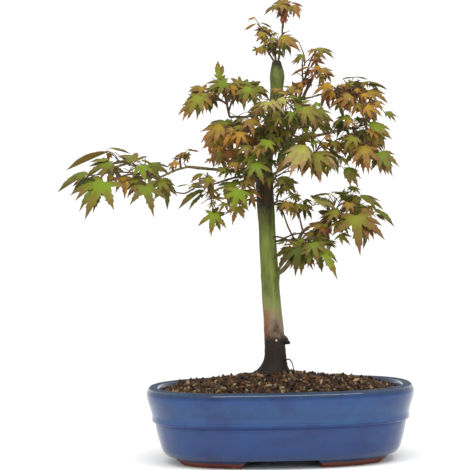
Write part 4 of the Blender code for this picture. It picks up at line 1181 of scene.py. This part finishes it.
# twigs without leaves: the radius, and a line that starts inside a limb (millimetres, from the pot's middle)
bareTwigs = (
    (1.0, ((-4, -2, 208), (1, -7, 208), (8, -8, 206), (14, -8, 203))),
    (1.0, ((17, -8, 204), (11, -9, 216), (7, -10, 228), (5, -12, 236))),
    (1.0, ((24, -8, 214), (22, -9, 223), (21, -10, 231))),
    (1.0, ((-82, -8, 274), (-85, -9, 278))),
    (0.9, ((-77, -20, 254), (-85, -20, 250), (-97, -22, 252))),
    (1.1, ((2, 0, 371), (-2, -2, 377), (-4, -3, 381), (-5, -4, 387))),
    (0.9, ((9, 0, 398), (9, -1, 404), (10, -2, 409))),
    (0.8, ((29, -8, 367), (29, -8, 376), (25, -8, 387))),
    (1.7, ((27, -6, 337), (30, -6, 344), (34, -7, 350), (36, -8, 356))),
)
twigLook = {
    "sides": 6, "bare": 0.6, "stem": (0.0012, 0.00095), "shoot": (0.00085, 0.00055),
    "sideling": (0.00045, 0.00035), "stalk": (0.00030, 0.00024), "bud": 0.0021, "node": 1.25,
}


def taper(line, radii):
    return [radii[0] + (radii[1] - radii[0]) * i / (len(line) - 1) for i in range(len(line))]


def addBud(book, place, out, length):
    # a small pointed bud
    line = [place + out * length * t for t in (0, 0.25, 0.6, 1.0)]
    addTube(book, line, [length * share for share in (0.10, 0.21, 0.17, 0.03)], 5, 1)


def dressMasses():
    books = {slot: newBook() for slot in sprays}
    twigs, stalks = newBook(), newBook()
    names = list(palettes)
    for mass in masses:
        growOuter(mass, taken)
    for mass in masses:
        mass.growLeaves(taken)
        growSidelings(mass, taken)
    print("  leaves:", sum(len(mass.leaves) for mass in masses))
    for mass in masses:
        dice = random.Random(mass.name)
        for number, (leaf, stalk) in enumerate(mass.leaves):
            dealt = (dice.choice(sprays[mass.palette]), 1, dice.uniform(*blade["droop"]))
            tint, spread, droop = mass.shapes.get(number, dealt)
            addBlade(leaf, dice, names.index(tint), books[mass.palette], spread, droop)
            knot, middle = stalk[-1], leaf[0]
            sag = knot.lerp(middle, 0.5) + upward * (middle - knot).length * dice.uniform(0.04, 0.14)
            line = smoothLine([knot, sag, middle - leaf[2] * 0.0001], 3)
            addTube(stalks, line, taper(line, twigLook["stalk"]), 5)
        line = smoothLine(mass.stem, 3)
        addTube(twigs, line, taper(line, twigLook["stem"]), twigLook["sides"])
        for twig in mass.twigs:
            line = smoothLine(twig, 5)
            radii = taper(line, twigLook["shoot"])
            for i in range(2, len(line), 3):
                radii[i] *= twigLook["node"]      # a node's ring
            addTube(twigs, line, radii, twigLook["sides"])
            out = (line[-1] - line[-2]).normalized()
            for hand in (-1, 1):
                aside = out.cross(upward).normalized() * hand
                addBud(twigs, line[-1], (out + aside * 0.6).normalized(), twigLook["bud"])
        for twiglet in mass.twiglets:
            line = smoothLine(twiglet, 3)
            addTube(twigs, line, taper(line, twigLook["sideling"]), 5)
            addBud(twigs, line[-1], (line[-1] - line[-2]).normalized(), twigLook["bud"])
    for radius, route in bareTwigs:
        line = smoothLine([millimetres(point) for point in route], 4)
        radii = taper(line, (radius / 1000, radius / 1000 * twigLook["bare"]))
        addTube(twigs, line, radii, twigLook["sides"])
        addBud(twigs, line[-1], (line[-1] - line[-2]).normalized(), twigLook["bud"])
    return books, twigs, stalks


def makeFoliage():
    books, twigs, stalks = dressMasses()
    tones = leafTones()
    for slot, book in books.items():
        used = sorted(set(book["picks"]))
        picks = [used.index(pick) for pick in book["picks"]]
        name = "leaves" + slot.title()
        piece = meshPiece(name, book["points"], book["faces"], [tones[i] for i in used], picks, 60)
        nodes = [mass.name for mass in masses if mass.palette == slot]
        hangOn(piece, "leaves_" + slot, *nodes)
    brown = barkMaterial("twigBark", "5a4632", "3c2e24", 2600)
    bud = barkMaterial("budScale", "7a3a26", "5a2a1c", 2600)
    hangOn(meshPiece("twigs", twigs["points"], twigs["faces"], [brown, bud], twigs["picks"]), "bough_bark")
    green = barkMaterial("stalkSkin", "8a5a34", "6e6a2c", 1800)
    hangOn(meshPiece("leafStalks", stalks["points"], stalks["faces"], [green]), "bough_bark")


makeFoliage()
print("leaves, shoots and stalks joined")


# trunk and boughs
bark = {
    "sides": 24, "rings": 74, "crowding": 1.25, "cap": 0.0006,
    "flareSpread": 0.0135, "flareHeight": 0.0060, "flareLobes": 4, "flareShare": (0.68, 0.32, 0.42),
    "ridges": 0.00055, "ridgeTop": 0.118, "lumps": 0.00035, "pores": 0.00010,
    "ridgeFade": (0.02, 0.035), "ridgeCount": 6.5, "ridgeSway": 2.4, "ridgeTwist": 14, "ridgeEdge": 0.7,
    # how fine the noise is across and along the trunk
    "swirlScale": (60, 22), "lumpScale": (95, 48), "poreScale": (500, 1500), "roughScale": 420,
    # height, swelling and breadth of the trunk's old joints, the last one its knob
    "joints": ((0.1708, 0.00045, 0.0016), (0.2040, 0.00018, 0.0016), (0.2290, 0.00030, 0.0016),
               (0.3030, 0.00022, 0.0016), (0.3390, 0.00025, 0.0016), (0.3595, 0.00120, 0.0070)),
    "collar": 0.0013, "collarReach": 0.0065,
    # a pruning cut, the stub of a lost bough and a root that loops out of the soil
    "cut": (-0.0021, -0.0098, 0.1116),
    "stub": ((0.0012, -0.0005, 0.1120), (0.0056, -0.0020, 0.1106), (0.0102, -0.0035, 0.1078)),
    "rootLoop": ((0.0045, -0.0060, 0.0920), (0.0088, -0.0070, 0.0936), (0.0116, -0.0080, 0.0905),
                 (0.0128, -0.0085, 0.0855), (0.0132, -0.0090, 0.0780)),
    "stubRadii": (0.0062, 0.0008), "loopRadii": (0.0007, 0.0004),
    "stubRough": (0.0004, 500), "loopRough": (0.0001, 600), "boughRough": (0.00028, 420),
    "boughSteps": 10, "boughJoint": (0.16, 1.3),
}


def trunkAxis(height):
    # the trunk's middle and plain radius at a height
    for a, b in zip(trunkCurve, trunkCurve[1:]):
        if height <= b.z or b is trunkCurve[-1]:
            t = (height - a.z) / (b.z - a.z)
            share = (height - trunk["foot"]) / (trunkCurve[-1].z - trunk["foot"])
            return a.lerp(b, t), atShare(trunk["radii"], share)


def grainAt(co, across, along):
    return noise.noise(Vector((co.x * across, co.y * across, co.z * along)))


def barkRelief(co, turn):
    # how far the bark stands out here: ridges at the foot, lumps and pores above
    above, fade = bark["ridgeFade"]
    low = max(0.0, min(1.0, (bark["ridgeTop"] + above - co.z) / fade))
    swirl = grainAt(co, *bark["swirlScale"])
    wave = turn * bark["ridgeCount"] + swirl * bark["ridgeSway"] + co.z * bark["ridgeTwist"]
    ridge = abs(math.sin(wave)) ** bark["ridgeEdge"]
    rough = noise.fractal(co * bark["roughScale"], 0.8, 2.1, 3)
    lump = grainAt(co, *bark["lumpScale"])
    pore = grainAt(co, *bark["poreScale"])
    out = low * bark["ridges"] * (ridge - 0.45 + 0.5 * rough) + bark["lumps"] * lump
    return out + bark["pores"] * pore * (1 - 0.6 * low)


def makeTrunk():
    clearSelection()
    sides, rings = bark["sides"], bark["rings"]
    foot = (0, 0, trunk["foot"])
    bpy.ops.mesh.primitive_circle_add(vertices=sides, radius=0.01, fill_type="NGON", location=foot)
    piece = bpy.context.object
    bpy.ops.object.transform_apply(location=True)
    top = trunk["line"][-1][2]
    bpy.ops.object.mode_set(mode="EDIT")
    bpy.ops.mesh.select_all(action="SELECT")
    for i in range(rings):
        # rings stand closer together in the flare
        near, far = ((k / rings) ** bark["crowding"] * (top - trunk["foot"]) for k in (i, i + 1))
        bpy.ops.mesh.extrude_region_move(TRANSFORM_OT_translate={"value": (0, 0, far - near)})
    bpy.ops.mesh.extrude_region_move(TRANSFORM_OT_translate={"value": (0, 0, bark["cap"])})
    facesOutward()
    plain, lobed, less = bark["flareShare"]
    for vertex in piece.data.vertices:
        # the flare has lobes all round and less reach on the right
        turn = math.atan2(vertex.co.y, vertex.co.x)
        middle, radius = trunkAxis(vertex.co.z)
        fade = math.exp(-(vertex.co.z - trunk["foot"]) / bark["flareHeight"])
        lobe = plain + lobed * math.cos(bark["flareLobes"] * turn + 0.2) - less * max(0.0, math.cos(turn))
        reach = radius + bark["flareSpread"] * lobe * fade
        for height, swell, breadth in bark["joints"]:
            reach += swell * math.exp(-((vertex.co.z - height) / breadth) ** 2)
        vertex.co = middle + Vector((math.cos(turn), math.sin(turn), 0)) * reach
    applyModifier(piece, "SUBSURF", levels=2, render_levels=2)
    roots = [(millimetres(route[0]), (millimetres(route[1]) - millimetres(route[0])).normalized())
             for _, parent, _, _, route in boughs if parent == "trunk"]
    normals = [vertex.normal.copy() for vertex in piece.data.vertices]
    for vertex, normal in zip(piece.data.vertices, normals):
        middle, _ = trunkAxis(vertex.co.z)
        turn = math.atan2(vertex.co.y - middle.y, vertex.co.x - middle.x)
        out = barkRelief(vertex.co, turn)
        for root, heading in roots:
            # a collar swells where each bough leaves
            away = (vertex.co - root - heading * 0.006).length
            out += bark["collar"] * math.exp(-(away / bark["collarReach"]) ** 2)
        vertex.co += normal * out
    return piece


def makeBough(name, line, radii):
    # a path with a round bevel, made a mesh and subdivided
    clearSelection()
    bpy.ops.curve.primitive_nurbs_path_add()
    path = bpy.context.object
    path.data.splines.clear()
    spline = path.data.splines.new("POLY")
    spline.points.add(len(line) - 1)
    for point, place, radius in zip(spline.points, line, radii):
        point.co = (*place, 1)
        point.radius = radius * 1000
    path.data.bevel_depth = 0.001
    path.data.bevel_resolution = 3
    path.data.use_fill_caps = True
    bpy.ops.object.convert(target="MESH")
    piece = bpy.context.object
    piece.name = name
    bpy.ops.object.mode_set(mode="EDIT")
    bpy.ops.mesh.select_all(action="SELECT")
    bpy.ops.mesh.remove_doubles(threshold=0.00001)
    facesOutward()
    applyModifier(piece, "SUBSURF", levels=1, render_levels=1)
    return piece


def roughen(piece, size, scale):
    normals = [vertex.normal.copy() for vertex in piece.data.vertices]
    for vertex, normal in zip(piece.data.vertices, normals):
        vertex.co += normal * size * noise.fractal(vertex.co * scale, 0.9, 2.0, 3)


def joinPieces(name, pieces):
    makeActive(pieces[0])
    for piece in pieces:
        piece.select_set(True)
    bpy.ops.object.join()
    joined = bpy.context.object
    joined.name = name
    joined.data.name = name
    return joined


def trunkMaterial():
    material, nodes, links, shader = newMaterial("trunkBark")
    shader.inputs["Specular IOR Level"].default_value = 0.25
    coords = objectCoords(nodes)
    split = nodes.new("ShaderNodeSeparateXYZ")
    links.new(coords, split.inputs["Vector"])
    wander = noiseNode(nodes, links, coords, 90, 3)
    sway = rangeNode(nodes, links, wander, 0.3, 0.7, -0.007, 0.007)
    height = mathNode(nodes, links, "ADD", split.outputs["Z"], sway)
    along = rangeNode(nodes, links, height, 0.08, 0.37, 0, 1)
    base = rampNode(nodes, links, along, (
        (0.0, "1d1611"), (0.112, "261e18"), (0.134, "574538"), (0.158, "7a6a58"), (0.185, "827456"),
        (0.214, "787c4a"), (0.31, "6f7b38"), (0.44, "707c3a"), (0.52, "565a2c"), (0.555, "3a2d1d"),
        (0.615, "3f311e"), (0.655, "4b4a26"), (0.74, "434d25"), (0.82, "4a5429"), (0.88, "65723a"),
        (0.92, "6f7c3c"), (0.962, "67713a"), (0.985, "3e3a24"), (1.0, "33291d")))
    streak = noiseNode(nodes, links, coords, 160, 6, 0.65, (1, 1, 0.18))
    patch = noiseNode(nodes, links, coords, 320, 5)
    darker = rampNode(nodes, links, streak, ((0.34, "5e5a4e"), (0.50, "c9c6bb"), (0.72, "ffffff")))
    streaked = rangeNode(nodes, links, along, 0.20, 0.28, 0.35, 0.75)
    tinted = mixNode(nodes, links, streaked, base, darker, "MULTIPLY")
    # rust on the left above the dark foot, and pale patches from there on up
    rise = rangeNode(nodes, links, along, 0.115, 0.145, 0, 1)
    left = rangeNode(nodes, links, split.outputs["X"], potMiddle.x - 0.0115, potMiddle.x - 0.0050, 0.6, 0)
    fall = mathNode(nodes, links, "MULTIPLY", rise, rangeNode(nodes, links, along, 0.175, 0.225, 1, 0))
    rusty = mixNode(nodes, links, mathNode(nodes, links, "MULTIPLY", left, fall), tinted, tone("6f4026"))
    spots = mathNode(nodes, links, "MULTIPLY", rise, rangeNode(nodes, links, patch, 0.62, 0.80, 0, 0.28))
    pale = mixNode(nodes, links, spots, rusty, tone("989a6c"))
    # the cream face of an old pruning cut
    off = nodes.new("ShaderNodeVectorMath")
    off.operation = "DISTANCE"
    links.new(coords, off.inputs[0])
    off.inputs[1].default_value = Vector(bark["cut"]) + potMiddle
    ring = rangeNode(nodes, links, off.outputs["Value"], 0.0024, 0.0034, 1, 0)
    ringed = mixNode(nodes, links, ring, pale, tone("1d1611"))
    cut = rangeNode(nodes, links, off.outputs["Value"], 0.0013, 0.0018, 1, 0)
    links.new(mixNode(nodes, links, cut, ringed, tone("a39479")), shader.inputs["Base Color"])
    fine = noiseNode(nodes, links, coords, 1500, 4)
    links.new(rangeNode(nodes, links, fine, 0.3, 0.7, 0.55, 0.82), shader.inputs["Roughness"])
    bumpNode(nodes, links, shader, fine, 0.5, 0.0003)
    return material


def makeLimbs():
    trunkPiece = makeTrunk()
    stubLine = smoothLine([Vector(point) for point in bark["stub"]], 4)
    thick, thin = bark["stubRadii"]
    last = len(stubLine) - 1
    radii = [thick - (thick - thin) * (i / last) ** 1.5 for i in range(len(stubLine))]
    stub = makeBough("stub", stubLine, radii)
    roughen(stub, *bark["stubRough"])
    loop = smoothLine([Vector(point) for point in bark["rootLoop"]], 5)
    rootPiece = makeBough("rootLoop", loop, taper(loop, bark["loopRadii"]))
    roughen(rootPiece, *bark["loopRough"])
    whole = joinPieces("trunkBark", [trunkPiece, stub, rootPiece])
    coat(whole, trunkMaterial())
    hangOn(whole, "trunk_bark", "trunk")
    limbPieces = []
    swell, breadth = bark["boughJoint"]
    for name, _, rootRadius, tipRadius, route in boughs:
        line = smoothLine([millimetres(point) for point in route], bark["boughSteps"])
        radii = taper(line, (rootRadius / 1000, tipRadius / 1000))
        for i in range(len(line)):
            # a few joints along the bough stand out a little
            away = i % bark["boughSteps"] - bark["boughSteps"] / 2
            radii[i] *= 1 + swell * math.exp(-(away / breadth) ** 2)
        limbPieces.append(makeBough(name + "Bark", line, radii))
        roughen(limbPieces[-1], *bark["boughRough"])
    limbsPiece = joinPieces("boughBark", limbPieces)
    coat(limbsPiece, barkMaterial("boughBark", "6f6440", "3f3226", 1500))
    hangOn(limbsPiece, "bough_bark", *[row[0] for row in boughs])


makeLimbs()
print("trunk and boughs grown")


# pot
pot = {
    "length": 0.250, "width": 0.180, "oval": 2.55, "points": 192,
    "outer": (
        (0.0215, 0.0080), (0.0172, 0.0080), (0.0162, 0.0088), (0.0156, 0.0102), (0.0144, 0.0112),
        (0.0134, 0.0132), (0.0116, 0.0190), (0.0098, 0.0255), (0.0082, 0.0330), (0.0078, 0.0362),
        (0.0076, 0.0377), (0.0061, 0.0383), (0.0050, 0.0393), (0.0045, 0.0408), (0.0045, 0.0424),
        (0.0048, 0.0440), (0.0045, 0.0460), (0.0036, 0.0490), (0.0024, 0.0530), (0.0012, 0.0570),
        (0.0005, 0.0600), (0.0001, 0.0630), (0.0002, 0.0655), (0.0010, 0.0678), (0.0024, 0.0694),
        (0.0042, 0.0700),
    ),
    "inner": (
        (0.0075, 0.0700), (0.0100, 0.0698), (0.0113, 0.0690), (0.0121, 0.0674), (0.0126, 0.0640),
        (0.0140, 0.0520), (0.0186, 0.0175), (0.0230, 0.0140),
    ),
    "footDepth": 0.0150, "footHeight": 0.0092, "footTop": 0.0190, "footBottom": 0.0270, "footSteps": 14,
    "footEdge": 0.0009, "frontGap": (0.0320, 0.0370), "sideGap": (0.0290, 0.0330),
    # bands between two heights: bare clay, the groove's lower and upper edges, the worn flat of the rim
    "clay": (0.0045, 0.0062), "grooveFoot": (0.0362, 0.0370), "grooveHead": (0.0404, 0.0412),
    "rimFlat": (0.0691, 0.0698),
}


def ovalPoint(inset, height, turn):
    c, s = math.cos(turn), math.sin(turn)
    x = (pot["length"] / 2 - inset) * math.copysign(abs(c) ** (2 / pot["oval"]), c)
    y = (pot["width"] / 2 - inset) * math.copysign(abs(s) ** (2 / pot["oval"]), s)
    return Vector((x, y, height))


def turnWhere(axis, distance, inset):
    # the turn at which the oval stands that far out along x or y
    half = (pot["length"], pot["width"])[axis] / 2 - inset
    share = (distance / half) ** (pot["oval"] / 2)
    return math.acos(share) if axis == 0 else math.asin(share)


def ovalWall(name, profile, points):
    # a flat circle made oval, then drawn up ring by ring along the wall's profile
    clearSelection()
    inset, height = profile[0]
    bpy.ops.mesh.primitive_circle_add(vertices=points, radius=1, fill_type="NGON", location=(0, 0, height))
    piece = bpy.context.object
    piece.name = name
    bpy.ops.object.transform_apply(location=True)
    for vertex in piece.data.vertices:
        vertex.co = ovalPoint(inset, height, math.atan2(vertex.co.y, vertex.co.x))
    bpy.ops.object.mode_set(mode="EDIT")
    bpy.ops.mesh.select_all(action="SELECT")
    for nextInset, nextHeight in profile[1:]:
        bpy.ops.mesh.extrude_region_move(TRANSFORM_OT_translate={"value": (0, 0, nextHeight - height)})
        grow = [(half / 2 - nextInset) / (half / 2 - inset) for half in (pot["length"], pot["width"])]
        bpy.ops.transform.resize(value=(*grow, 1), center_override=(0, 0, nextHeight))
        inset, height = nextInset, nextHeight
    facesOutward()
    return piece


def makeFoot(sideX, sideY):
    # a curved foot under a corner of the oval, its ends slanting in, with rounded edges
    rows, steps = [], pot["footSteps"]
    for inset, height, level in ((pot["footBottom"], 0, 1), (pot["footTop"], pot["footHeight"], 0)):
        start = turnWhere(1, pot["sideGap"][level], inset)
        stop = turnWhere(0, pot["frontGap"][level], inset)
        turns = [start + (stop - start) * i / steps for i in range(steps + 1)]
        outside = [ovalPoint(inset, height, turn) for turn in turns]
        inside = []
        for point, turn in zip(outside, turns):
            away = Vector((math.cos(turn) / pot["length"], math.sin(turn) / pot["width"], 0)).normalized()
            inside.append(point - away * pot["footDepth"])
        rows.append([Vector((p.x * sideX, p.y * sideY, p.z)) for p in outside + inside[::-1]])
    count = len(rows[0])
    faces = [(i, (i + 1) % count, count + (i + 1) % count, count + i) for i in range(count)]
    for base in (0, count):
        faces += [(base + i, base + i + 1, base + count - 2 - i, base + count - 1 - i) for i in range(steps)]
    foot = meshPiece("foot", rows[0] + rows[1], faces)
    makeActive(foot)
    bpy.ops.object.mode_set(mode="EDIT")
    facesOutward()
    edge = {"width": pot["footEdge"], "segments": 2, "limit_method": "ANGLE", "angle_limit": math.radians(40)}
    applyModifier(foot, "BEVEL", **edge)
    return foot


def glazeMaterial():
    material, nodes, links, shader = newMaterial("blueGlaze")
    coords = objectCoords(nodes)
    split = nodes.new("ShaderNodeSeparateXYZ")
    links.new(coords, split.inputs["Vector"])
    drift = noiseNode(nodes, links, coords, 55, 4)
    sway = rangeNode(nodes, links, drift, 0.3, 0.7, -0.0011, 0.0011)
    height = mathNode(nodes, links, "ADD", split.outputs["Z"], sway)
    along = rangeNode(nodes, links, height, 0.0, pot["outer"][-1][1], 0, 1)
    # the bare clay darkens from 0.048 down to the very bottom: painted shade where the feet meet the floor
    # the darker blues at 0.515 and 0.57 are painted shadow under the groove's overhang
    base = rampNode(nodes, links, along, (
        (0.0, "6d3c32"), (0.048, "84493c"), (0.068, "70433b"), (0.080, "102d50"), (0.20, "163567"),
        (0.49, "16376a"), (0.515, "113066"), (0.570, "123268"), (0.600, "1d406e"), (0.80, "1e416e"),
        (0.90, "123a6f"), (0.955, "162f50"), (1.0, "2d3a4c")))
    mottle = noiseNode(nodes, links, coords, 120, 5, 0.5)
    fleck = noiseNode(nodes, links, coords, 900, 4, 0.7)
    # where the glaze ran thick it is deeper, where it ran thin it is greener
    runs = noiseNode(nodes, links, coords, 30, 3, 0.5, (1, 1, 1.6))
    clouds = rampNode(nodes, links, runs, ((0.34, "c2c6dc"), (0.50, "eef2f6"), (0.66, "dcffff")))
    cloudy = mixNode(nodes, links, 0.8, base, clouds, "MULTIPLY")
    speckle = rampNode(nodes, links, mottle, ((0.30, "c4cad6"), (0.50, "e8eaf0"), (0.72, "ffffff")))
    toned = mixNode(nodes, links, 0.5, cloudy, speckle, "MULTIPLY")
    flecks = rangeNode(nodes, links, fleck, 0.66, 0.80, 0, 0.16)
    links.new(mixNode(nodes, links, flecks, toned, tone("6d82a8")), shader.inputs["Base Color"])
    # the bare clay of the feet, the worn flat of the rim and the pooled groove don't shine
    glossy = rangeNode(nodes, links, split.outputs["Z"], *pot["rimFlat"], 1, 0.12)
    glazed = rangeNode(nodes, links, height, *pot["clay"], 0.1, 1)
    below = rangeNode(nodes, links, split.outputs["Z"], *pot["grooveFoot"], 1, 0.75)
    above = rangeNode(nodes, links, split.outputs["Z"], *pot["grooveHead"], 0.75, 1)
    clear = mathNode(nodes, links, "MAXIMUM", below, above)
    fired = mathNode(nodes, links, "MULTIPLY", mathNode(nodes, links, "MULTIPLY", glossy, glazed), clear)
    links.new(rangeNode(nodes, links, fired, 0, 1, 0.62, 0.13), shader.inputs["Roughness"])
    links.new(mathNode(nodes, links, "MULTIPLY", fired, 0.30), shader.inputs["Specular IOR Level"])
    links.new(mathNode(nodes, links, "MULTIPLY", fired, 0.30), shader.inputs["Coat Weight"])
    shader.inputs["Coat Roughness"].default_value = 0.06
    bumpNode(nodes, links, shader, mottle, 0.30, 0.0004)
    return material


def makePot():
    wall = ovalWall("potGlazed", pot["outer"] + pot["inner"], pot["points"])
    for sideX in (-1, 1):
        for sideY in (-1, 1):
            foot = makeFoot(sideX, sideY)
            applyModifier(wall, "BOOLEAN", operation="UNION", solver="EXACT", object=foot)
            bpy.data.objects.remove(foot)
    coat(wall, glazeMaterial())
    wall.data.set_sharp_from_angle(angle=math.radians(40))
    hangOn(wall, "glaze", "pot")


makePot()
print("pot glazed")


# soil: a rough heap, and loose chips of bark and grit over it
heap = {
    "edge": 0.0635, "top": soilTop, "flat": 0.0215, "inset": 0.0132, "middle": (-0.0046, 0.0),
    "roughness": 0.0005, "spacing": 0.021, "rowSpacing": 0.87, "play": 0.0035,
    "lump": 0.0021, "lumpRadii": (0.0056, 0.0074), "rows": 5, "lumpsWithin": 0.855, "fromFlat": 0.6,
    "lumpReach": 1.1, "lumpSlope": 0.48, "climb": 0.62, "blend": 0.5, "bumpScale": 140,
    # the bed's side inside the pot, and how far its top lies under the heap's own height
    "side": ((0.0233, 0.0143), (0.0189, 0.0180), (0.0143, 0.0520), (0.0132, 0.0600), (0.0130, 0.0635)),
    "sides": 128, "rings": 34, "under": 0.0008,
}
chips = {
    "count": 2900, "size": (0.0032, 0.0078), "sink": 0.36, "kinds": 9,
    "wallInset": 0.0142, "trunkRoom": 0.0115, "wallRoom": 0.2,
    "long": 1.25, "broad": (0.42, 0.78), "flat": (0.32, 0.58), "broken": (0.82, 1.18),
    "spin": 6.28, "tip": 0.5, "sides": (0, 1.57, 3.14), "rock": 0.4,
    "tones": (("2f2118", 5), ("42301f", 5), ("574328", 4), ("442b17", 4), ("1a120d", 5), ("7d6b4c", 2),
              ("392716", 4), ("593a1e", 2), ("8c7c60", 1)),
}


def heapShare(x, y):
    # 0 at the trunk, 1 at the pot's wall
    halfX = pot["length"] / 2 - heap["inset"]
    halfY = pot["width"] / 2 - heap["inset"]
    mx, my = heap["middle"]
    shiftX, shiftY = x - mx, y - my
    reachX = halfX - mx if shiftX > 0 else halfX + mx
    return ((abs(shiftX) / reachX) ** pot["oval"] + (abs(shiftY) / halfY) ** pot["oval"]) ** (1 / pot["oval"])


def lumpPlaces():
    # the part's own lumps: staggered rows, each a little out of line
    dice = random.Random(6)
    places = []
    for row in range(-heap["rows"], heap["rows"] + 1):
        for column in range(-heap["rows"], heap["rows"] + 1):
            x = (column + 0.5 * (row % 2)) * heap["spacing"] + dice.uniform(-heap["play"], heap["play"])
            y = row * heap["spacing"] * heap["rowSpacing"] + dice.uniform(-heap["play"], heap["play"])
            radius = dice.uniform(*heap["lumpRadii"])
            away = math.hypot(x - heap["middle"][0], y - heap["middle"][1])
            if heapShare(x, y) < heap["lumpsWithin"] and away > heap["flat"] + heap["fromFlat"] * radius:
                places.append((x, y, radius))
    return places


def heapHeight(x, y):
    # the heap rises from the wall to the flat place under the trunk, with lumps on it
    share = min(heapShare(x, y), 1)
    mx, my = heap["middle"]
    away = math.hypot(x - mx, y - my)
    climb = (1 - share) ** heap["climb"]
    height = heap["edge"] + (heap["top"] - heap["edge"]) * climb
    if away < heap["flat"] * (1 + heap["blend"]):
        t = max(0.0, (away - heap["flat"]) / (heap["flat"] * heap["blend"]))
        height = heap["top"] + (height - heap["top"]) * t
    bump = noise.noise(Vector((x * heap["bumpScale"], y * heap["bumpScale"], 3.0))) * heap["roughness"]
    for lumpX, lumpY, radius in lumps:
        off = math.hypot(x - lumpX, y - lumpY) / radius
        if off < heap["lumpReach"]:
            bump += heap["lump"] * min(1, (heap["lumpReach"] - off) / heap["lumpSlope"])
    return height + bump


lumps = lumpPlaces()


def makeSoil():
    # the bed: an oval block whose top is drawn in ring by ring and then lifted to the heap's height
    edge, height = heap["side"][-1]
    reach = pot["width"] / 2 - edge
    steps = heap["rings"]
    top = [(edge + reach * (i + 1) / (steps + 1), height) for i in range(steps)]
    bed = ovalWall("soilBed", list(heap["side"]) + top, heap["sides"])
    for vertex in bed.data.vertices:
        if vertex.co.z > height - 0.0001:
            vertex.co.z = heapHeight(vertex.co.x, vertex.co.y) - heap["under"]
    coat(bed, barkMaterial("earth", "312218", "150e09", 900))
    hangOn(bed, "soil", "soil")


def chipShapes(dice):
    # a few broken chips, each modelled once from an icosphere
    shapes = []
    for _ in range(chips["kinds"]):
        clearSelection()
        bpy.ops.mesh.primitive_ico_sphere_add(subdivisions=1, radius=0.5)
        chip = bpy.context.object
        squash = Vector((chips["long"], dice.uniform(*chips["broad"]), dice.uniform(*chips["flat"])))
        for vertex in chip.data.vertices:
            vertex.co = vertex.co * squash * dice.uniform(*chips["broken"])
        points = np.array([vertex.co for vertex in chip.data.vertices])
        faces = np.array([face.vertices for face in chip.data.polygons])
        shapes.append((points, faces))
        bpy.data.objects.remove(chip)
    return shapes


def makeChips():
    dice = random.Random(12)
    shapes = chipShapes(dice)
    tones, weights = [], []
    for colour, weight in chips["tones"]:
        tones.append(barkMaterial("chip" + str(len(tones)), colour, colour, 700))
        weights.append(weight)
    points, faces, picks, start, placed = [], [], [], 0, 0
    halfX, halfY = (pot[side] / 2 - chips["wallInset"] for side in ("length", "width"))
    mx, my = heap["middle"]
    while placed < chips["count"]:
        x, y = dice.uniform(-halfX, halfX), dice.uniform(-halfY, halfY)
        size = dice.triangular(*chips["size"], chips["size"][0])
        nearTrunk = math.hypot(x - mx, y - my) < chips["trunkRoom"]
        if nearTrunk or heapShare(x, y) > 1 - size / chips["wallRoom"]:
            continue
        shape, corners = dice.choice(shapes)
        turn = Matrix.Rotation(dice.uniform(0, chips["spin"]), 3, "Z")
        turn = turn @ Matrix.Rotation(dice.uniform(-chips["tip"], chips["tip"]), 3, "X")
        roll = dice.choice(chips["sides"]) + dice.uniform(-chips["rock"], chips["rock"])
        turn = turn @ Matrix.Rotation(roll, 3, "Y")
        lift = size * (0.5 - chips["sink"]) * dice.uniform(0.1, 1.0)
        place = np.array((x, y, heapHeight(x, y) + lift - heap["under"]))
        points.append(shape * size @ np.array(turn).T + place)
        faces.append(corners + start)
        picks += [dice.choices(range(len(tones)), weights)[0]] * len(corners)
        start += len(shape)
        placed += 1
    piece = meshPiece("soilChips", np.concatenate(points), np.concatenate(faces).tolist(), tones, picks, 28)
    hangOn(piece, "soil")


makeSoil()
makeChips()
print("soil heaped")

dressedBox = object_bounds()
boxes = [[[round(value, 5) for value in corner] for corner in box] for box in (cadBox, dressedBox)]
print("CAD box and dressed box", boxes)
